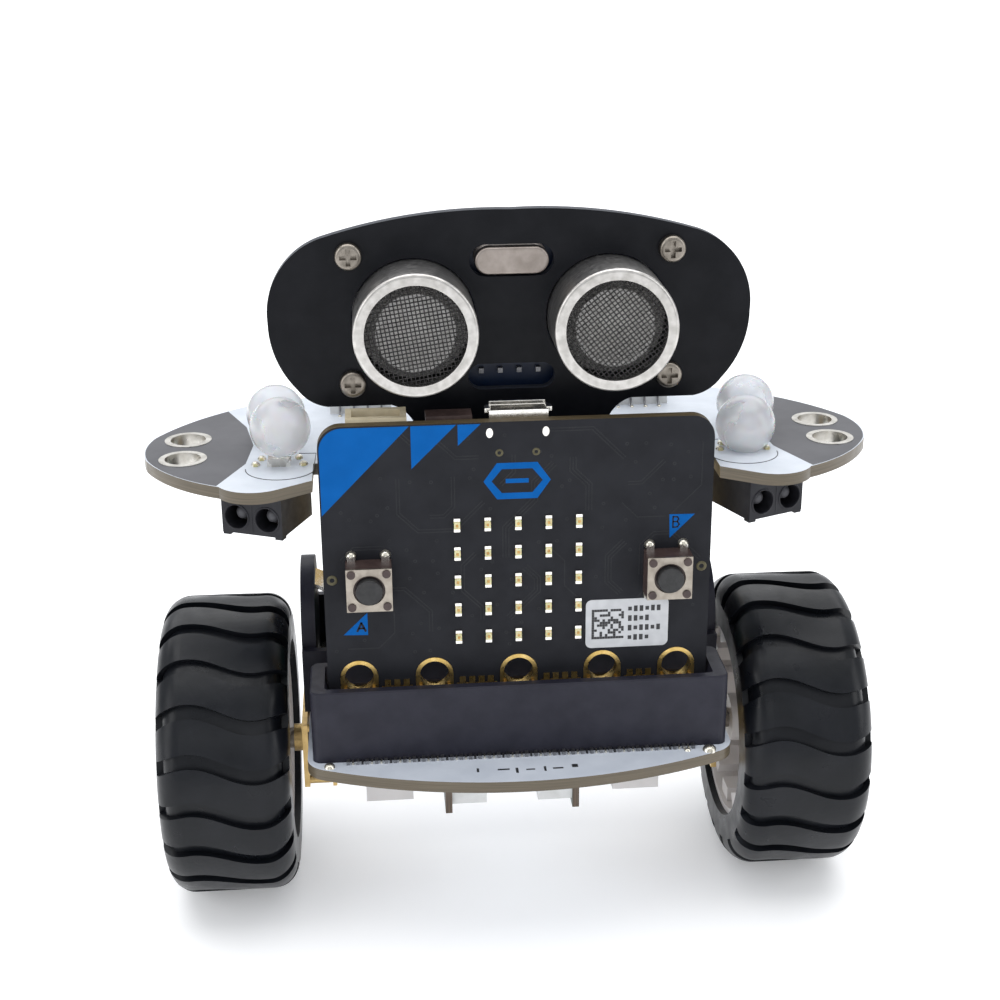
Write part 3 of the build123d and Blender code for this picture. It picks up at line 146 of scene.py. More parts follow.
BRUSHED = (1, 1, 14)
materials = {
    "lower_board": laminate("white mask lower", ((0.52, 0.56, 0.63), (0.58, 0.62, 0.69)),
                            ((0.085, 0.068, 0.043), (0.125, 0.10, 0.066)), "Z", (0.28, 0.42)),
    "upper_board": laminate("white mask", ((0.54, 0.58, 0.64), (0.60, 0.64, 0.70)),
                            ((0.085, 0.068, 0.043), (0.125, 0.10, 0.066)), "Z", (0.28, 0.42)),
    "control_board": laminate("dark mask", ((0.014, 0.0145, 0.018), (0.018, 0.0188, 0.023)),
                              ((0.05, 0.04, 0.024), (0.12, 0.09, 0.05)), "Y", (0.42, 0.55),
                              Specular_IOR_Level=0.12),
    "face_plate": laminate("black mask", ((0.005, 0.0055, 0.0075), (0.008, 0.0085, 0.011)),
                           ((0.016, 0.018, 0.025), (0.045, 0.05, 0.065)), "Y", (0.30, 0.42),
                           Specular_IOR_Level=0.13),
    "sensor_board": laminate("blue mask", ((0.003, 0.012, 0.042), (0.004, 0.016, 0.052)),
                             ((0.10, 0.09, 0.04), (0.20, 0.17, 0.09)), "Y", (0.30, 0.42)),
    "encoder_board": laminate("green mask", ((0.02, 0.04, 0.025), (0.03, 0.055, 0.035)),
                              ((0.07, 0.05, 0.035), (0.16, 0.11, 0.075)), "X", (0.3, 0.45)),
    "black_plastic": moulded("black plastic", (0.015, 0.015, 0.024), (0.021, 0.021, 0.032), 0.3,
                             (0.38, 0.50), 0.012, 3.0, Specular_IOR_Level=0.22),
    "terminal_plastic": moulded("terminal plastic", (0.012, 0.012, 0.016), (0.018, 0.018, 0.022),
                                0.4, (0.40, 0.52), 0.010, 3.5, Specular_IOR_Level=0.25),
    "cream_plastic": moulded("cream nylon", (0.60, 0.52, 0.36), (0.70, 0.62, 0.45), 0.5,
                             (0.40, 0.55), 0.008, 3.0),
    "white_plastic": moulded("white nylon", (0.63, 0.60, 0.585), (0.68, 0.65, 0.635), 0.25,
                             (0.32, 0.46), 0.008, 2.0),
    "connector_white": moulded("white connector nylon", (0.70, 0.70, 0.68), (0.80, 0.80, 0.79), 0.4,
                               (0.36, 0.50), 0.008, 3.0),
    "brown_plastic": moulded("brown plastic", (0.040, 0.024, 0.022), (0.060, 0.038, 0.034), 0.8,
                             (0.42, 0.55), 0.010, 4.0),
    "chip_plastic": moulded("black epoxy", (0.010, 0.010, 0.011), (0.020, 0.020, 0.021), 1.5,
                            (0.45, 0.60), 0.010, 6.0),
    "frosted": moulded("frosted ball", (0.86, 0.865, 0.885), (0.92, 0.925, 0.94), 0.05,
                       (0.25, 0.30), 0.0005, 0.2, Subsurface_Weight=0.35, Subsurface_Scale=0.002,
                       Transmission_Weight=0.72, IOR=1.45, Coat_Weight=0.5, Coat_Roughness=0.1),
    "led_lens": moulded("lamp resin", (0.52, 0.47, 0.24), (0.68, 0.62, 0.36), 1.5, (0.2, 0.35),
                        0.004, 5.0, Subsurface_Weight=0.2, Subsurface_Scale=0.0005),
    "amber_die": moulded("amber die", (0.42, 0.22, 0.05), (0.60, 0.36, 0.10), 2.0, (0.3, 0.45),
                         0.002, 6.0),
    "contact_gold": moulded("worn contact gold", (0.26, 0.17, 0.06), (0.42, 0.29, 0.11), 1.0,
                            (0.3, 0.5), 0.004, 3.0, 1.0),
    "cell_wrap": moulded("shrink film", (0.02, 0.16, 0.13), (0.03, 0.21, 0.17), 0.1, (0.18, 0.3),
                         0.015, 0.5),
    "gold": moulded("gold plating", (0.62, 0.42, 0.13), (0.78, 0.56, 0.22), 0.8, (0.24, 0.38),
                    0.004, 3.0, 1.0),
    "brass": moulded("machined brass", (0.51, 0.355, 0.15), (0.59, 0.42, 0.185), 0.6, (0.25, 0.42),
                     0.006, 2.0, 1.0, BRUSHED),
    "steel": moulded("plated steel", (0.20, 0.178, 0.152), (0.32, 0.288, 0.25), 0.8, (0.26, 0.42),
                     0.005, 2.5, 1.0, BRUSHED),
    "dark_steel": moulded("dark steel", (0.20, 0.20, 0.21), (0.32, 0.32, 0.33), 0.8, (0.3, 0.45),
                          0.006, 2.5, 1.0, BRUSHED),
    "button_metal": moulded("button cover", (0.31, 0.275, 0.235), (0.40, 0.36, 0.31), 0.8,
                            (0.34, 0.50), 0.004, 3.0, 1.0),
    "tin": moulded("bright tin", (0.78, 0.76, 0.71), (0.92, 0.90, 0.86), 1.0, (0.16, 0.28), 0.005,
                   3.0, 1.0),
    "dull_tin": moulded("dull tin", (0.46, 0.44, 0.40), (0.62, 0.60, 0.56), 0.8, (0.26, 0.40),
                        0.006, 3.0, 1.0),
    "solder": moulded("solder", (0.55, 0.52, 0.44), (0.78, 0.75, 0.66), 1.5, (0.20, 0.38), 0.02,
                      2.5, 1.0),
    "crystal": moulded("crystal can metal", (0.27, 0.235, 0.21), (0.37, 0.325, 0.295), 0.5,
                       (0.32, 0.46), 0.004, 3.0, 1.0, (10, 1, 1)),
    "mesh_wire": moulded("blackened wire", (0.020, 0.019, 0.019), (0.050, 0.048, 0.046), 1.2,
                         (0.36, 0.55), 0.004, 6.0, 0.6),
    "cone_metal": moulded("cone coating", (0.68, 0.66, 0.64), (0.80, 0.78, 0.76), 0.6, (0.32, 0.48),
                          0.006, 2.0),
    "tyre_rubber": moulded("tyre rubber", (0.004, 0.005, 0.007), (0.008, 0.009, 0.012), 0.15,
                           (0.26, 0.40), 0.02, 1.2, Specular_IOR_Level=0.25),
    "blue_print": moulded("blue print", (0.0, 0.088, 0.33), (0.001, 0.10, 0.37), 0.3, (0.4, 0.55),
                          0.003, 5.0, Specular_IOR_Level=0.08),
    "grey_print": moulded("grey print", (0.078, 0.078, 0.086), (0.098, 0.098, 0.107), 0.1,
                          (0.36, 0.46), 0.002, 5.0, Specular_IOR_Level=0.2),
    "black_print": moulded("black print", (0.012, 0.012, 0.014), (0.03, 0.03, 0.034), 1.0,
                           (0.4, 0.55), 0.002, 5.0),
    "label": moulded("label paper", (0.49, 0.50, 0.52), (0.56, 0.57, 0.59), 0.6, (0.45, 0.6),
                     0.002, 6.0),
    "trace_mask": moulded("mask over copper", (0.019, 0.020, 0.023), (0.025, 0.026, 0.029), 0.5,
                          (0.40, 0.52), 0.002, 5.0, Specular_IOR_Level=0.14),
    "olive_pad": moulded("masked via", (0.07, 0.062, 0.032), (0.11, 0.098, 0.055), 1.5, (0.35, 0.5),
                         0.003, 5.0, 0.5),
}


def can_finish_with_painted_side_shade():
    """Satin aluminium: bright rolled front; the drawn side keeps its streaks and is painted darker
    as painted shade.
    """
    made = Finish("transducer can", 1.0)
    grain = made.noise(0.9, 4.0)
    # Lit and shaded copies of one metal: this front ramp is the lit copy.
    front = made.ramp(grain, (0.46, 0.445, 0.42), (0.62, 0.60, 0.575))
    # Painted shade: the side ramp runs darker than the front's; its stretched streaks are the drawn
    # metal's own grain.
    side = made.ramp(made.noise(0.5, 3.0, (1, 6, 1)), (0.40, 0.39, 0.385), (0.62, 0.61, 0.60))
    # The facing mask puts the painted-shade colour on the can's sides and the lit colour on its
    # front.
    made.use("Base Color", made.mix(made.facing("Y", 0.35), side, front))
    made.use("Roughness", made.spread(made.noise(2.0), 0.28, 0.42))
    made.bump(made.noise(3.0), 0.004)
    return made.material


materials["can_aluminium"] = can_finish_with_painted_side_shade()


def dress(node, finish):
    """Give a CAD node its finished material."""
    piece = frame["nodes"][node]
    if not piece.material_slots:
        piece.data.materials.append(materials[finish])
    for holder in piece.material_slots:
        holder.material = materials[finish]


special = {"lower_board": "lower_board", "upper_board": "upper_board", "crystal_can": "crystal",
           "button_covers": "button_metal", "wire_connectors": "connector_white",
           "socket_pins": "dark_steel", "header_pins": "dark_steel", "ear_hole_rims": "dull_tin",
           "face_screws": "steel", "button_a_plunger": "chip_plastic",
           "button_b_plunger": "chip_plastic"}
for part in frame["record"]["subparts"]:
    dress(part["node"], special.get(part["node"], part["material_slot"]))


# ------------------------------------------------------------------ mesh pieces

PLANES = {"x": lambda u, v, level: (level, u, v), "y": lambda u, v, level: (u, level, v),
          "z": lambda u, v, level: (u, v, level)}


class Shape:
    """A mesh piece drawn in millimetres in the robot's frame."""

    def __init__(self, *finishes):
        self.mesh = bmesh.new()
        self.finishes = finishes
        self.turn = Matrix.Identity(4)

    def point(self, place):
        return self.mesh.verts.new(self.turn @ Vector(place))

    def face(self, corners, finish, smooth=False):
        made = self.mesh.faces.new(corners)
        made.material_index = self.finishes.index(finish)
        made.smooth = smooth

    def plate(self, way, outline, low, high, finish, holes=()):
        """An outline with holes, as thick as its two levels are apart."""
        loops = [outline, *holes]
        flat = [[Vector((u, v, 0)) for u, v in loop] for loop in loops]
        triangles = tessellate_polygon(flat)
        rings = []
        for level in (low, high):
            rings.append([self.point(PLANES[way](u, v, level)) for loop in loops for u, v in loop])
        for ring in rings:
            for corners in triangles:
                self.face([ring[number] for number in corners], finish)
        start = 0
        for loop in loops:
            count = len(loop)
            for number in range(count):
                one, two = start + number, start + (number + 1) % count
                self.face((rings[0][one], rings[0][two], rings[1][two], rings[1][one]), finish)
            start += count

    def block(self, low, high, finish, taper=0.0):
        """A box that narrows towards its top by the taper on each side."""
        (x0, y0, z0), (x1, y1, z1) = low, high
        rings = []
        for inset, z in ((0, z0), (taper, z1)):
            corners = rectangle((x0 + inset, y0 + inset), (x1 - inset, y1 - inset))
            rings.append([self.point((x, y, z)) for x, y in corners])
        bottom, top = rings
        self.face(bottom[::-1], finish)
        self.face(top, finish)
        for number in range(4):
            after = (number + 1) % 4
            self.face((bottom[number], bottom[after], top[after], top[number]), finish)

    def lathe(self, way, centre, profile, finish, steps=32):
        """A profile of (radius, level) pairs turned about an axis through the centre."""
        u0, v0 = centre
        rings = []
        for radius, level in profile:
            if radius == 0:
                rings.append([self.point(PLANES[way](u0, v0, level))])
                continue
            ring = []
            for number in range(steps):
                angle = 2 * math.pi * number / steps
                ring.append(self.point(PLANES[way](u0 + radius * math.cos(angle),
                                                   v0 + radius * math.sin(angle), level)))
            rings.append(ring)
        for first, second in zip(rings[:-1], rings[1:]):
            for number in range(steps):
                after = (number + 1) % steps
                corners = [first[number % len(first)], first[after % len(first)],
                           second[after % len(second)], second[number % len(second)]]
                unique = list(dict.fromkeys(corners))
                if len(unique) > 2:
                    self.face(unique, finish, smooth=True)

    def loft(self, loops, finish):
        """A skin over outlines of equal length, each at its height, closed at both ends."""
        rings = [[self.point((u, v, level)) for u, v in outline] for outline, level in loops]
        count = len(rings[0])
        for first, second in zip(rings[:-1], rings[1:]):
            for number in range(count):
                after = (number + 1) % count
                self.face((first[number], first[after], second[after], second[number]), finish)
        self.face(rings[0][::-1], finish)
        self.face(rings[-1], finish)

    def tube(self, path, radius, finish, sides=6, up=(0, 0, 1)):
        """A round wire along a list of points."""
        points = [Vector(place) for place in path]
        rings = []
        for number, place in enumerate(points):
            before = points[max(number - 1, 0)]
            after = points[min(number + 1, len(points) - 1)]
            along = (after - before).normalized()
            across = along.cross(Vector(up)).normalized()
            over = across.cross(along)
            ring = []
            for side in range(sides):
                angle = 2 * math.pi * side / sides
                ring.append(self.point(place + radius * (across * math.cos(angle)
                                                         + over * math.sin(angle))))
            rings.append(ring)
        for first, second in zip(rings[:-1], rings[1:]):
            for side in range(sides):
                after = (side + 1) % sides
                self.face((first[side], first[after], second[after], second[side]), finish, True)
        self.face(rings[0][::-1], finish)
        self.face(rings[-1], finish)

    def blob(self, way, centre, level, radius, height, finish, steps=14):
        """A domed drop of solder on a surface; a negative height hangs the other way."""
        profile = [(radius * 1.08, level - height * 0.1)]
        for share in (0.0, 0.35, 0.65, 0.88):
            profile.append((radius * math.sqrt(1 - share ** 2), level + height * share))
        profile.append((0, level + height))
        self.lathe(way, centre, profile, finish, steps)

    def done(self, name, body, replaced=(), bevel=0.0):
        """Turn the drawing into an object that rides on a body."""
        bmesh.ops.recalc_face_normals(self.mesh, faces=self.mesh.faces)
        bmesh.ops.scale(self.mesh, vec=(MM, MM, MM), verts=self.mesh.verts)
        data = bpy.data.meshes.new(name)
        self.mesh.to_mesh(data)
        self.mesh.free()
        for finish in self.finishes:
            data.materials.append(materials[finish])
        piece = bpy.data.objects.new(name, data)
        bpy.context.scene.collection.objects.link(piece)
        if bevel:
            soft = piece.modifiers.new("soft edges", "BEVEL")
            soft.width = bevel * MM
            soft.segments = 2
            soft.limit_method = "ANGLE"
            soft.angle_limit = math.radians(40)
        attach(piece, body)
        if replaced:
            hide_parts(*replaced)


def arc(first, middle, last, steps=12):
    """Points on the circle through three points, from the first to the last."""
    (ax, ay), (bx, by), (cx, cy) = first, middle, last
    d = 2 * (ax * (by - cy) + bx * (cy - ay) + cx * (ay - by))
    a2, b2, c2 = ax * ax + ay * ay, bx * bx + by * by, cx * cx + cy * cy
    ux = (a2 * (by - cy) + b2 * (cy - ay) + c2 * (ay - by)) / d
    uy = (a2 * (cx - bx) + b2 * (ax - cx) + c2 * (bx - ax)) / d
    start = math.atan2(ay - uy, ax - ux)
    half = math.atan2(by - uy, bx - ux)
    end = math.atan2(cy - uy, cx - ux)
    full = 2 * math.pi
    sweep = (end - start) % full
    if (half - start) % full > sweep:
        sweep -= full
    radius = math.hypot(ax - ux, ay - uy)
    return [(ux + radius * math.cos(start + sweep * number / steps),
             uy + radius * math.sin(start + sweep * number / steps)) for number in range(steps + 1)]


def circle(centre, radius, steps=28):
    angles = [2 * math.pi * number / steps for number in range(steps)]
    return [(centre[0] + radius * math.cos(angle), centre[1] + radius * math.sin(angle))
            for angle in angles]


def rounded(low, high, radius, steps=5):
    """A rectangle with round corners."""
    (x0, y0), (x1, y1) = low, high
    points = []
    for cx, cy, start in ((x1 - radius, y0 + radius, -90), (x1 - radius, y1 - radius, 0),
                          (x0 + radius, y1 - radius, 90), (x0 + radius, y0 + radius, 180)):
        for number in range(steps + 1):
            angle = math.radians(start + 90 * number / steps)
            points.append((cx + radius * math.cos(angle), cy + radius * math.sin(angle)))
    return points


def rectangle(low, high):
    return [(low[0], low[1]), (high[0], low[1]), (high[0], high[1]), (low[0], high[1])]


def stroke(first, last, width):
    """A thin bar from one point to another."""
    way = Vector((last[0] - first[0], last[1] - first[1])).normalized()
    side = Vector((-way.y, way.x)) * width / 2
    end = way * width * 0.3
    a, b = Vector(first) - end, Vector(last) + end
    return [tuple(a + side), tuple(b + side), tuple(b - side), tuple(a - side)]


# ------------------------------------------------------------------ control board

board_low, board_high = box_mm("control_board")
face_y = board_low.y
PRINT = 0.02
HEXAGON = ((1, 0), (0.6, 1), (-0.6, 1), (-1, 0), (-0.6, -1), (0.6, -1))
LETTER_A = (((-21.6, 46.0), (-21.05, 47.2)), ((-21.05, 47.2), (-20.5, 46.0)),
            ((-21.38, 46.4), (-20.72, 46.4)))
LETTER_B = (((20.6, 59.25), (20.6, 60.75)), ((20.6, 60.75), (21.2, 60.7)),
            ((21.2, 60.7), (21.35, 60.4)), ((21.35, 60.4), (21.2, 60.1)),
            ((20.6, 60.05), (21.2, 60.05)), ((21.2, 60.0), (21.45, 59.65)),
            ((21.45, 59.65), (21.2, 59.3)), ((20.6, 59.25), (21.2, 59.28)))
BUTTON_MARKS = (((-23.45, 45.5), (-20.2, 48.65), (-20.2, 45.4)),
                ((20.1, 61.1), (23.5, 61.05), (20.2, 57.75)))


def blue_shapes(shape, back, front):
    """The corner triangles, the two button marks and the badge."""
    left, top = board_low.x + 0.2, board_high.z - 0.2
    corner = 3.0
    turns = [math.radians(angle) for angle in range(0, 91, 10)]
    first = [(-14.0, top)] + [(left + corner - corner * math.sin(turn),
                               top - corner + corner * math.cos(turn))
                              for turn in turns] + [(left, top - 11.9)]
    shape.plate("y", first, back, front, "blue_print")
    for x0, drop, x1 in ((-13.8, 5.8, -7.95), (-7.75, 2.85, -4.8)):
        shape.plate("y", [(x0, top), (x0, top - drop), (x1, top)], back, front, "blue_print")
    for mark in BUTTON_MARKS:
        shape.plate("y", mark, back, front, "blue_print")
    x, z = -0.1, 66.6
    half_width, half_height = 4.4, 2.5
    bar_half_width, bar_half_height = 1.5, 0.3
    outer = [(x + half_width * u, z + half_height * v) for u, v in HEXAGON]
    inner = [(x + 0.76 * (u - x), z + 0.66 * (v - z)) for u, v in outer]
    shape.plate("y", outer, back, front, "blue_print", [inner])
    bar = rectangle((x - bar_half_width, z - bar_half_height),
                    (x + bar_half_width, z + bar_half_height))
    shape.plate("y", bar, back, front, "blue_print")


def label_shapes(shape, back):
    """The sticker: paper, a square code and four rows of marks."""
    low, high = (9.1, 42.05), (20.35, 49.15)
    paper_thickness, ink_thickness = 0.08, 0.01
    paper = face_y - paper_thickness
    ink = paper - ink_thickness
    shape.plate("y", rounded(low, high, 0.8), back, paper, "label")
    cells, code_size, cell_fill = 12, 4.4, 0.96
    size = code_size / cells
    code_low = (low[0] + 0.8, low[1] + 1.3)
    chance = random.Random(7)
    for row in range(cells):
        for column in range(cells):
            rim = row == 0 or column == 0
            if not rim and chance.random() < 0.5:
                continue
            start = (code_low[0] + column * size, code_low[1] + row * size)
            end = (start[0] + size * cell_fill, start[1] + size * cell_fill)
            shape.plate("y", rectangle(start, end), paper, ink, "black_print")
    first_drop, first_shift = 1.45, 4.95
    row_pitch, mark_pitch, mark_width = 1.42, 0.78, 0.5
    for line, marks in enumerate((6, 4, 6, 4)):
        z = high[1] - first_drop - row_pitch * line
        for mark in range(marks):
            x = code_low[0] + first_shift + mark * mark_pitch
            tall = 0.42 if (mark + line) % 3 else 0.28
            shape.plate("y", rectangle((x, z - tall), (x + mark_width, z + tall)), paper, ink,
                        "black_print")


def board_print():
    """Blue triangles, button marks, a plain badge and a coded label."""
    shape = Shape("blue_print", "label", "black_print", "control_board")
    back, front = face_y, face_y - PRINT
    blue_shapes(shape, back, front)
    for letter, width in ((LETTER_A, 0.28), (LETTER_B, 0.19)):
        for first, last in letter:
            shape.plate("y", stroke(first, last, width), front, front - PRINT, "control_board")
    label_shapes(shape, back)
    shape.done("control_board_print", "chassis")


def strip(path, shift, width):
    """Outline of a run beside a path, with mitred corners."""
    sides = ([], [])
    for number, place in enumerate(path):
        before = Vector(path[max(number - 1, 0)])
        after = Vector(path[min(number + 1, len(path) - 1)])
        here = Vector(place)
        ways = [way.normalized() for way in (here - before, after - here) if way.length > 0]
        across = sum((Vector((-way.y, way.x)) for way in ways), Vector((0, 0))).normalized()
        across /= max(across.dot(Vector((-ways[0].y, ways[0].x))), 0.5)
        for side, half in zip(sides, (-width / 2, width / 2)):
            side.append(tuple(here + across * (shift + half)))
    return sides[0] + sides[1][::-1]


COMPASS = [(1, 0), (1, 1), (0, 1), (-1, 1), (-1, 0), (-1, -1), (0, -1), (1, -1)]
TRACE_TRIES, TRACE_GAP, TRACE_STEP, TRACE_HEIGHT = 240, 1.9, 0.6, 0.01
LANE_PITCH, LANE_WIDTH = 0.4, 0.15
VIA_TRIES, VIA_GAP = 120, 1.0


def near_any(spot, others, gap):
    return any(math.dist(spot, other) < gap for other in others)


def random_path(chance, area):
    """A run with turns of 45 degrees: its corner points and all the spots it passes."""
    low, high = area
    heading = chance.randrange(8)
    lanes = chance.choice((1, 2, 2, 3))
    path = [(chance.uniform(low[0], high[0]), chance.uniform(low[1], high[1]))]
    spots = [path[0]]
    for _ in range(chance.randint(2, 4)):
        steps = chance.randint(3, 10)
        way = Vector(COMPASS[heading % 8]).normalized() * TRACE_STEP
        for _ in range(steps):
            spots.append((spots[-1][0] + way.x, spots[-1][1] + way.y))
        path.append(spots[-1])
        heading += chance.choice((-1, 1))
    return path, spots, lanes


def ring_pad(shape, spot, radius, hole_radius, height, finish, steps):
    """A flat ring round a small hole, with sloping sides."""
    outer, inner = radius
    wide, narrow = hole_radius
    shape.lathe("y", spot, [(outer, face_y), (inner, face_y - height), (wide, face_y - height),
                            (narrow, face_y)], finish, steps)


def board_traces():
    """Fine copper runs that show faintly under the mask."""
    shape = Shape("trace_mask", "olive_pad", "tin")
    chance = random.Random(21)
    level = face_y - TRACE_HEIGHT
    low = (board_low.x + 1.2, board_low.z + 9.5)
    high = (board_high.x - 1.2, board_high.z - 1.2)
    taken = []
    for _ in range(TRACE_TRIES):
        path, spots, lanes = random_path(chance, (low, high))
        inside = all(low[0] < x < high[0] and low[1] < z < high[1] for x, z in spots)
        if not inside or any(near_any(spot, taken, TRACE_GAP) for spot in spots):
            continue
        taken.extend(spots)
        for lane in range(lanes):
            shift = (lane - (lanes - 1) / 2) * LANE_PITCH
            shape.plate("y", strip(path, shift, LANE_WIDTH), face_y, level, "trace_mask")
    for _ in range(VIA_TRIES):
        spot = (chance.uniform(low[0], high[0]), chance.uniform(low[1], high[1]))
        if near_any(spot, taken, VIA_GAP):
            continue
        taken.append(spot)
        ring_pad(shape, spot, (0.26, 0.24), (0.13, 0.12), TRACE_HEIGHT, "trace_mask", 12)
    for _, side in SIDES:
        for spot, radius in (((side * 24.65, 53.5), 0.72), ((side * 2.4, 70.5), 0.52)):
            ring_pad(shape, spot, (radius, radius * 0.97), (radius * 0.48, radius * 0.44), 0.03,
                     "olive_pad", 20)
        pad_x, pad_z = side * 3.65, 73.25
        half_width, half_height, steps = 0.45, 0.66, 20
        turns = [2 * math.pi * number / steps for number in range(steps)]
        pad = [(pad_x + half_width * math.cos(turn), pad_z + half_height * math.sin(turn))
               for turn in turns]
        shape.plate("y", pad, face_y, face_y - 0.05, "tin")
    shape.done("control_board_traces", "chassis")


def led_lamps():
    """Twenty five small lamps: resin lens between two plated ends, with an amber die."""
    low, high = box_mm("led_matrix")
    half_w, half_h = 0.45, 1.0
    end_half, end_start, end_stop = 0.42, 0.5, 0.95
    end_height, lens_height, die_height = 0.34, 0.5, 0.03
    shape = Shape("led_lens", "tin", "amber_die")
    for column in range(5):
        for row in range(5):
            x = low.x + half_w + (high.x - low.x - 2 * half_w) * column / 4
            z = low.z + half_h + (high.z - low.z - 2 * half_h) * row / 4
            for end in (-1, 1):
                z0, z1 = sorted((z + end * end_start, z + end * end_stop))
                cap = rounded((x - end_half, z0), (x + end_half, z1), 0.06, 2)
                shape.plate("y", cap, face_y, face_y - end_height, "tin")
            lens = rounded((x - 0.40, z - 0.49), (x + 0.40, z + 0.49), 0.1, 3)
            die = rounded((x - 0.17, z - 0.2), (x + 0.17, z + 0.2), 0.08, 3)
            lens_face = face_y - lens_height
            shape.plate("y", lens, face_y, lens_face, "led_lens")
            shape.plate("y", die, lens_face, lens_face - die_height, "amber_die")
    shape.done("led_lamps", "chassis", ("led_matrix",), bevel=0.03)


def button_legs():
    """Short legs and their solder above and below each button."""
    low, high = box_mm("button_bodies")
    leg_x, leg_half, leg_length, leg_overlap, joint_shift = 2.25, 0.52, 0.75, 0.05, 0.6
    shape = Shape("tin", "solder")
    z_mid = (low.z + high.z) / 2
    half = (high.z - low.z) / 2
    for _, side in SIDES:
        x_mid = side * (high.x - half)
        for dx in (-leg_x, leg_x):
            for end in (-1, 1):
                x = x_mid + dx
                edge = z_mid + end * half
                z0, z1 = sorted((edge - end * leg_overlap, edge + end * leg_length))
                shape.block((x - leg_half, face_y - 0.8, z0), (x + leg_half, face_y - 0.15, z1),
                            "tin")
                shape.blob("y", (x, edge + end * joint_shift), face_y, 0.75, -0.85, "solder")
    shape.done("button_legs", "chassis")


CHIP_SPOTS = ((-3, 57, 4), (9.5, 62, 3.6), (-13, 52, 2.6), (-13, 59.5, 2.6), (9.5, 53, 2.6))


def back_parts():
    """Small resistors and capacitors on the board's back, clear of the larger parts."""
    back = board_high.y
    shape = Shape("chip_plastic", "tin", "cream_plastic")
    chance = random.Random(5)
    taken = [box_mm(node) for node in ("reset_body", "usb_port", "battery_connector")]
    first_x, first_z, column_pitch, row_pitch, jitter = -22, 45.5, 6.2, 5.2, 0.8
    body_half, end_half, end_reach = (0.3, 0.25), 0.26, 0.52
    for row in range(5):
        for column in range(8):
            x = first_x + column * column_pitch + chance.uniform(-jitter, jitter)
            z = first_z + row * row_pitch + chance.uniform(-jitter, jitter)
            if any(lo.x - 1 < x < hi.x + 1 and lo.z - 1 < z < hi.z + 1 for lo, hi in taken):
                continue
            if any(abs(x - cx) < gap and abs(z - cz) < gap for cx, cz, gap in CHIP_SPOTS):
                continue
            body = chance.choice(("chip_plastic", "cream_plastic"))
            outline = rectangle((x - body_half[0], z - body_half[1]),
                                (x + body_half[0], z + body_half[1]))
            shape.plate("y", outline, back, back + 0.4, body)
            for end in (-1, 1):
                x0, x1 = sorted((x + end * body_half[0], x + end * end_reach))
                shape.plate("y", rectangle((x0, z - end_half), (x1, z + end_half)), back,
                            back + 0.42, "tin")
    shape.done("control_board_parts", "chassis", bevel=0.04)


def usb_lips():
    """Flared lips, raised back edge and dark slit of the data port."""
    low, high = box_mm("usb_port")
    top = high.z
    flare, wall = 0.32, 0.28
    shape = Shape("tin", "black_print")
    outer = rounded((low.x, low.y), (high.x, high.y), 0.35)
    wide = rounded((low.x - flare, low.y + 0.02), (high.x + flare, high.y + flare), 0.4)
    inner = rounded((low.x + wall, low.y + wall), (high.x - wall, high.y - wall), 0.2)
    low_out, low_in, top_out, top_in = [
        [shape.point((u, v, level)) for u, v in loop]
        for loop, level in ((outer, top - 0.5), (inner, top - 0.5), (wide, top + 0.02),
                            (inner, top + 0.02))]
    count = len(outer)
    for number in range(count):
        after = (number + 1) % count
        shape.face((low_out[number], low_out[after], top_out[after], top_out[number]), "tin", True)
        shape.face((low_in[number], low_in[after], top_in[after], top_in[number]), "tin")
        shape.face((top_out[number], top_out[after], top_in[after], top_in[number]), "tin")
        shape.face((low_out[number], low_out[after], low_in[after], low_in[number]), "tin")
    shape.block((low.x + 0.15, high.y - 0.1, top - 0.3), (high.x - 0.15, high.y + 0.3, top + 0.5),
                "tin")
    for end, x in ((-1, low.x), (1, high.x)):
        x0, x1 = sorted((x - end * 0.2, x + end * 0.55))
        shape.block((x0, low.y + 0.7, top - 0.5), (x1, high.y - 0.7, top + 0.15), "tin")
    slit = rectangle((low.x + 0.4, low.y + 0.4), (high.x - 0.4, high.y - 0.4))
    shape.plate("z", slit, top - 1.1, top - 1.0, "black_print")
    shape.done("data_port_lips", "chassis", bevel=0.05)


# ------------------------------------------------------------------ face

def woven_meshes():
    """Plain weave of round wire behind each transducer's rim."""
    low, high = box_mm("sensor_meshes")
    radius = (high.z - low.z) / 2
    level = (low.y + high.y) / 2
    z_mid = (low.z + high.z) / 2
    pitch, wire = 0.53, 0.09
    left_turn, right_turn = 9, 37
    count = int(radius / pitch)
    shape = Shape("mesh_wire")
    for _, side in SIDES:
        x_mid = side * (high.x - radius)
        turn = math.radians(left_turn if side < 0 else right_turn)
        cos_t, sin_t = math.cos(turn), math.sin(turn)
        for weft in (0, 1):
            for wire_number in range(-count, count + 1):
                offset = wire_number * pitch
                reach = math.sqrt(max(radius ** 2 - offset ** 2, 0.2))
                crossings = int(reach / pitch)
                path = []
                for step in range(-2 * crossings, 2 * crossings + 1):
                    along = step * pitch / 2
                    phase = math.cos(math.pi * along / pitch)
                    lift = wire * phase * (1 if wire_number % 2 else -1)
                    u, v = (along, offset) if weft else (offset, along)
                    path.append((x_mid + u * cos_t - v * sin_t, level + lift,
                                 z_mid + u * sin_t + v * cos_t))
                if len(path) > 2:
                    shape.tube(path, wire, "mesh_wire", 5, up=(0, 1, 0))
    shape.done("woven_meshes", "chassis", ("sensor_meshes",))


# ------------------------------------------------------------------ upper board

board_top = box_mm("upper_board")[1].z


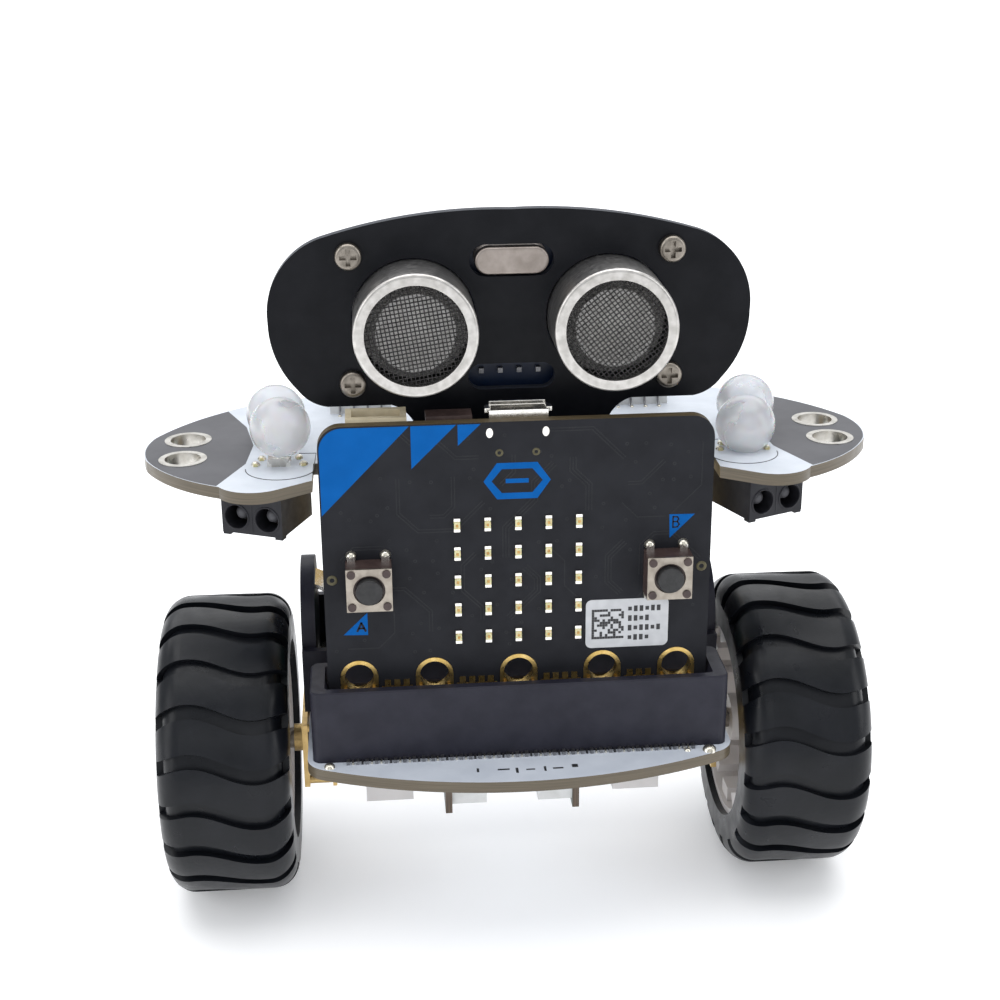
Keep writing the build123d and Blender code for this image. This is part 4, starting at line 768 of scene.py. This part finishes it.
def ear_prints():
    """Grey tips with their rim holes left clear, and a fine outline round each front lamp."""
    shape = Shape("grey_print", "black_print")
    rim_low, rim_high = box_mm("ear_hole_rims")
    flange = 3.2
    hole_x = rim_high.x - flange
    hole_y = (rim_low.y + flange, rim_high.y - flange)
    tip = (arc((38.75, -14.4), (44.95, -9.5), (48.55, -3.8))
           + arc((48.55, -3.8), (49.35, 1.0), (48.55, 5.8))[1:]
           + arc((48.55, 5.8), (44.4, 12.25), (39.4, 17.2))[1:])
    inner = [(36.3, 9.5), (34.9, 1.4), (35.5, -6.1)]
    lamp_line = (arc((35.4, -8.4), (30.9, -13.0), (26.5, -10.2), 20)
                 + [(26.4, -6.5), (26.3, -2.85), (28.6, -2.7)])
    for _, side in SIDES:
        outline = [(side * x, y) for x, y in tip + inner]
        holes = [circle((side * hole_x, y), 2.6) for y in hole_y]
        shape.plate("z", outline, board_top, board_top + PRINT, "grey_print", holes)
        path = [(side * x, y, board_top + 0.01) for x, y in lamp_line]
        shape.tube(path, 0.06, "black_print", 6)
    shape.done("ear_prints", "chassis")


def colour_lamps():
    """Square lamps under the balls, with plated corners and small parts round the front ones."""
    low, high = box_mm("rgb_leds")
    shape = Shape("dull_tin", "tin", "solder", "led_lens")
    half, inset = 1.6, 0.2
    front_x = 31.05
    near_parts = ((-3.1, -0.4), (3.2, -0.7), (-2.4, 1.9), (2.5, 2.0))
    for _, side in SIDES:
        for x, y in ((front_x, low.y + half), (high.x - half, high.y - half)):
            x *= side
            reach = half - inset
            outline = rounded((x - reach, y - reach), (x + reach, y + reach), 0.15, 2)
            shape.plate("z", outline, low.z, high.z, "dull_tin")
            for dx in (-1, 1):
                for dy in (-1, 1):
                    cx, cy = x + dx * (half - 0.35), y + dy * (half - 0.55)
                    shape.block((cx - 0.3, cy - 0.38, low.z), (cx + 0.3, cy + 0.38, low.z + 0.75),
                                "tin", 0.05)
            if y > 0:
                continue
            for dx, dy in near_parts:
                shape.blob("z", (x + dx, y + dy), low.z, 0.6, 0.5, "solder")
                shape.block((x + dx - 0.3, y + dy - 0.75, low.z),
                            (x + dx + 0.3, y + dy - 0.2, low.z + 0.35), "led_lens", 0.04)
    shape.done("colour_lamps", "chassis", ("rgb_leds",))


def connector_pins():
    """Thin contacts in front of the upper board's two wire sockets."""
    shape = Shape("dark_steel", "solder")
    first_x, pitch, foot_y = 17.2, 2.0, 13.2
    bends = ((foot_y, 0.15), (13.9, 0.2), (14.2, 0.6), (14.25, 2.4), (14.3, 4.8))
    for _, side in SIDES:
        for number in range(4):
            x = side * (first_x + pitch * number)
            path = [(x, y, board_top + rise) for y, rise in bends]
            shape.tube(path, 0.16, "dark_steel", 6, up=(1, 0, 0))
            shape.blob("z", (x, foot_y), board_top, 0.3, 0.22, "solder", 10)
    shape.done("connector_pins", "chassis")


# ------------------------------------------------------------------ terminals

TERMINAL_TURN = 23.5
TERMINAL_FRONT = -4.55
TERMINAL_HOLE_DROP = 3.9
TERMINAL_HALF_PITCH = 2.2
TERMINAL_HALF_WIDTH = 4.3


def terminal_details():
    """Hole rims, wire clamps, screw tips, a seam and small feet on each terminal block."""
    front = TERMINAL_FRONT
    for name, side in SIDES:
        low, high = box_mm(f"{name}_terminal")
        centre = (low + high) / 2
        shape = Shape("terminal_plastic", "dark_steel", "grey_print")
        turn = Matrix.Rotation(math.radians(side * TERMINAL_TURN), 4, "Z")
        shape.turn = Matrix.Translation((centre.x, centre.y, 0)) @ turn
        hole_z = high.z - TERMINAL_HOLE_DROP
        for dx in (-TERMINAL_HALF_PITCH, TERMINAL_HALF_PITCH):
            rim = [(1.85, front), (1.82, front - 0.1), (1.62, front - 0.1), (1.59, front + 0.4)]
            shape.lathe("y", (dx, hole_z), rim, "terminal_plastic", 32)
            shape.block((dx - 0.9, front + 2.2, hole_z + 0.3),
                        (dx + 0.9, front + 4.0, hole_z + 0.9), "dark_steel", 0.05)
            shape.blob("y", (dx + 0.15, hole_z + 0.1), front + 1.6, 0.9, -0.7, "grey_print", 20)
        for dx in (-TERMINAL_HALF_WIDTH, TERMINAL_HALF_WIDTH):
            x0, x1 = sorted((dx, dx - math.copysign(1.1, dx)))
            shape.block((x0, front + 0.03, low.z - 0.34), (x1, front + 1.2, low.z + 0.1),
                        "terminal_plastic")
        shape.block((-0.12, front - 0.05, low.z + 0.4), (0.12, front + 0.1, high.z - 0.4),
                    "terminal_plastic")
        shape.done(f"{name}_terminal_details", "chassis", bevel=0.05)


# ------------------------------------------------------------------ socket and lower board

def edge_socket():
    """The socket's body, with a sloping mouth that leads down to the board's slot."""
    low, high = box_mm("edge_socket")
    shape = Shape("black_plastic")
    lip, mouth_depth, end_gap = 1.3, 1.45, 0.5
    soft_edge, slot_gap = 0.2, 0.1
    outer = rounded((low.x, low.y), (high.x, high.y), 1.2)
    soft = rounded((low.x + soft_edge, low.y + soft_edge),
                   (high.x - soft_edge, high.y - soft_edge), 1.05)
    mouth = rounded((board_low.x - end_gap, low.y + lip), (board_high.x + end_gap, high.y - lip),
                    0.4)
    slot = rounded((board_low.x - slot_gap, face_y - slot_gap),
                   (board_high.x + slot_gap, board_high.y + slot_gap), 0.05)
    shape.loft([(outer, low.z), (outer, high.z - soft_edge), (soft, high.z), (mouth, high.z),
                (slot, high.z - mouth_depth), (slot, board_low.z)], "black_plastic")
    shape.done("edge_socket_body", "chassis", ("edge_socket",))


SOCKET_CONTACTS = 38
CONTACT_PITCH = 1.27


def socket_contacts():
    """Spring contacts in the socket's mouth, its solder feet and its anchor joints."""
    low, high = box_mm("edge_socket")
    lower_top = box_mm("lower_board")[1].z
    shape = Shape("contact_gold", "solder", "black_print")
    first = -(SOCKET_CONTACTS - 1) / 2 * CONTACT_PITCH
    contact_half, foot_half = 0.24, 0.14
    for number in range(SOCKET_CONTACTS):
        x = first + number * CONTACT_PITCH
        shape.block((x - contact_half, face_y - 0.6, high.z - 1.8),
                    (x + contact_half, face_y - 0.15, high.z - 1.1), "contact_gold", 0.05)
    for number in range(2 * SOCKET_CONTACTS - 1):
        x = first + number * CONTACT_PITCH / 2
        shape.block((x - foot_half, low.y - 0.85, lower_top),
                    (x + foot_half, low.y + 0.02, lower_top + 0.3),
                    "solder" if number % 3 else "black_print", 0.04)
    anchors = ((-26.0, 1.1, 0.75), (25.6, 1.3, 0.95), (22.6, 1.2, 0.45))
    for x, ahead, size in anchors:
        shape.blob("z", (x, low.y - ahead), lower_top, size, size * 0.75, "solder", 18)
    shape.done("socket_contacts", "chassis")


LOWER_MARKS = ((-3.6, -21.3, 1.6, 0.35), (-1.2, -21.7, 0.35, 1.3), (0.2, -21.6, 1.2, 0.3),
               (2.6, -21.6, 0.3, 1.2), (3.8, -21.6, 1.4, 0.35), (-6.4, -21.2, 0.3, 1.0),
               (6.4, -21.2, 0.8, 0.8))


def lower_prints():
    """Small black marks along the lower board's front edge."""
    top = box_mm("lower_board")[1].z
    shape = Shape("black_print")
    for x, y, width, depth in LOWER_MARKS:
        mark = rectangle((x, y - depth / 2), (x + width, y + depth / 2))
        shape.plate("z", mark, top, top + PRINT, "black_print")
    shape.done("lower_board_print", "chassis")


board_print()
board_traces()
led_lamps()
button_legs()
back_parts()
usb_lips()
woven_meshes()
ear_prints()
colour_lamps()
connector_pins()
terminal_details()
edge_socket()
socket_contacts()
lower_prints()


# ------------------------------------------------------------------ stage, light and camera

def make_floor():
    data = bpy.data.meshes.new("floor")
    reach = 4.0
    corners = [(x, y, 0) for x, y in rectangle((-reach, -reach), (reach, reach))]
    data.from_pydata(corners, [], [(0, 1, 2, 3)])
    floor = bpy.data.objects.new("floor", data)
    bpy.context.scene.collection.objects.link(floor)
    made = Finish("pale floor", Specular_IOR_Level=0.1, Emission_Strength=0.22,
                  Emission_Color=(0.97, 0.98, 1.0, 1.0))
    made.use("Base Color", made.ramp(made.noise(0.002), (0.93, 0.93, 0.935), (0.95, 0.95, 0.95)))
    made.use("Roughness", made.spread(made.noise(0.01), 0.8, 0.9))
    data.materials.append(made.material)


def area_light(name, place, target, size, power, colour=(1, 1, 1)):
    lamp = bpy.data.lights.new(name, "AREA")
    lamp.shape = "RECTANGLE"
    lamp.size, lamp.size_y = size
    lamp.energy = power
    lamp.color = colour
    holder = bpy.data.objects.new(name, lamp)
    holder.location = place
    holder.rotation_euler = (Vector(target) - Vector(place)).to_track_quat("-Z", "Y").to_euler()
    bpy.context.scene.collection.objects.link(holder)


def make_light():
    world = bpy.data.worlds.new("studio")
    world.use_nodes = True
    backdrop = world.node_tree.nodes["Background"]
    backdrop.inputs["Color"].default_value = (0.93, 0.96, 1.0, 1)
    backdrop.inputs["Strength"].default_value = 0.6
    bpy.context.scene.world = world
    area_light("top softbox", (0.0, 0.05, 0.75), (0, 0, 0.05), (0.9, 0.7), 4.2)
    area_light("left softbox", (-0.65, -0.30, 0.35), (0, 0, 0.05), (0.35, 0.6), 1.6)
    area_light("right softbox", (0.65, -0.30, 0.35), (0, 0, 0.05), (0.35, 0.6), 1.2)
    area_light("front fill", (0.0, -0.70, 0.45), (0, 0, 0.06), (0.5, 0.25), 0.35)
    area_light("far floor light", (0.0, 1.5, 1.0), (0, 1.5, 0), (3.0, 1.6), 22.0)


def make_camera():
    """Camera in front of the robot, above it and a little to its left."""
    eye = (-0.0186, -0.21335, 0.13975)
    pan, tilt, roll = -0.081, -0.361, 0.008
    turn = (Matrix.Rotation(pan, 3, "Z") @ Matrix.Rotation(tilt, 3, "X")
            @ Matrix.Rotation(roll, 3, "Y") @ Matrix.Rotation(math.pi / 2, 3, "X"))
    lens = bpy.data.cameras.new("camera")
    lens.lens = 59.14
    lens.sensor_width = 36.0
    lens.clip_start = 0.01
    camera = bpy.data.objects.new("camera", lens)
    camera.matrix_world = Matrix.Translation(eye) @ turn.to_4x4()
    bpy.context.scene.collection.objects.link(camera)
    bpy.context.scene.camera = camera


make_floor()
make_light()
make_camera()
bpy.context.scene.view_settings.view_transform = "Standard"
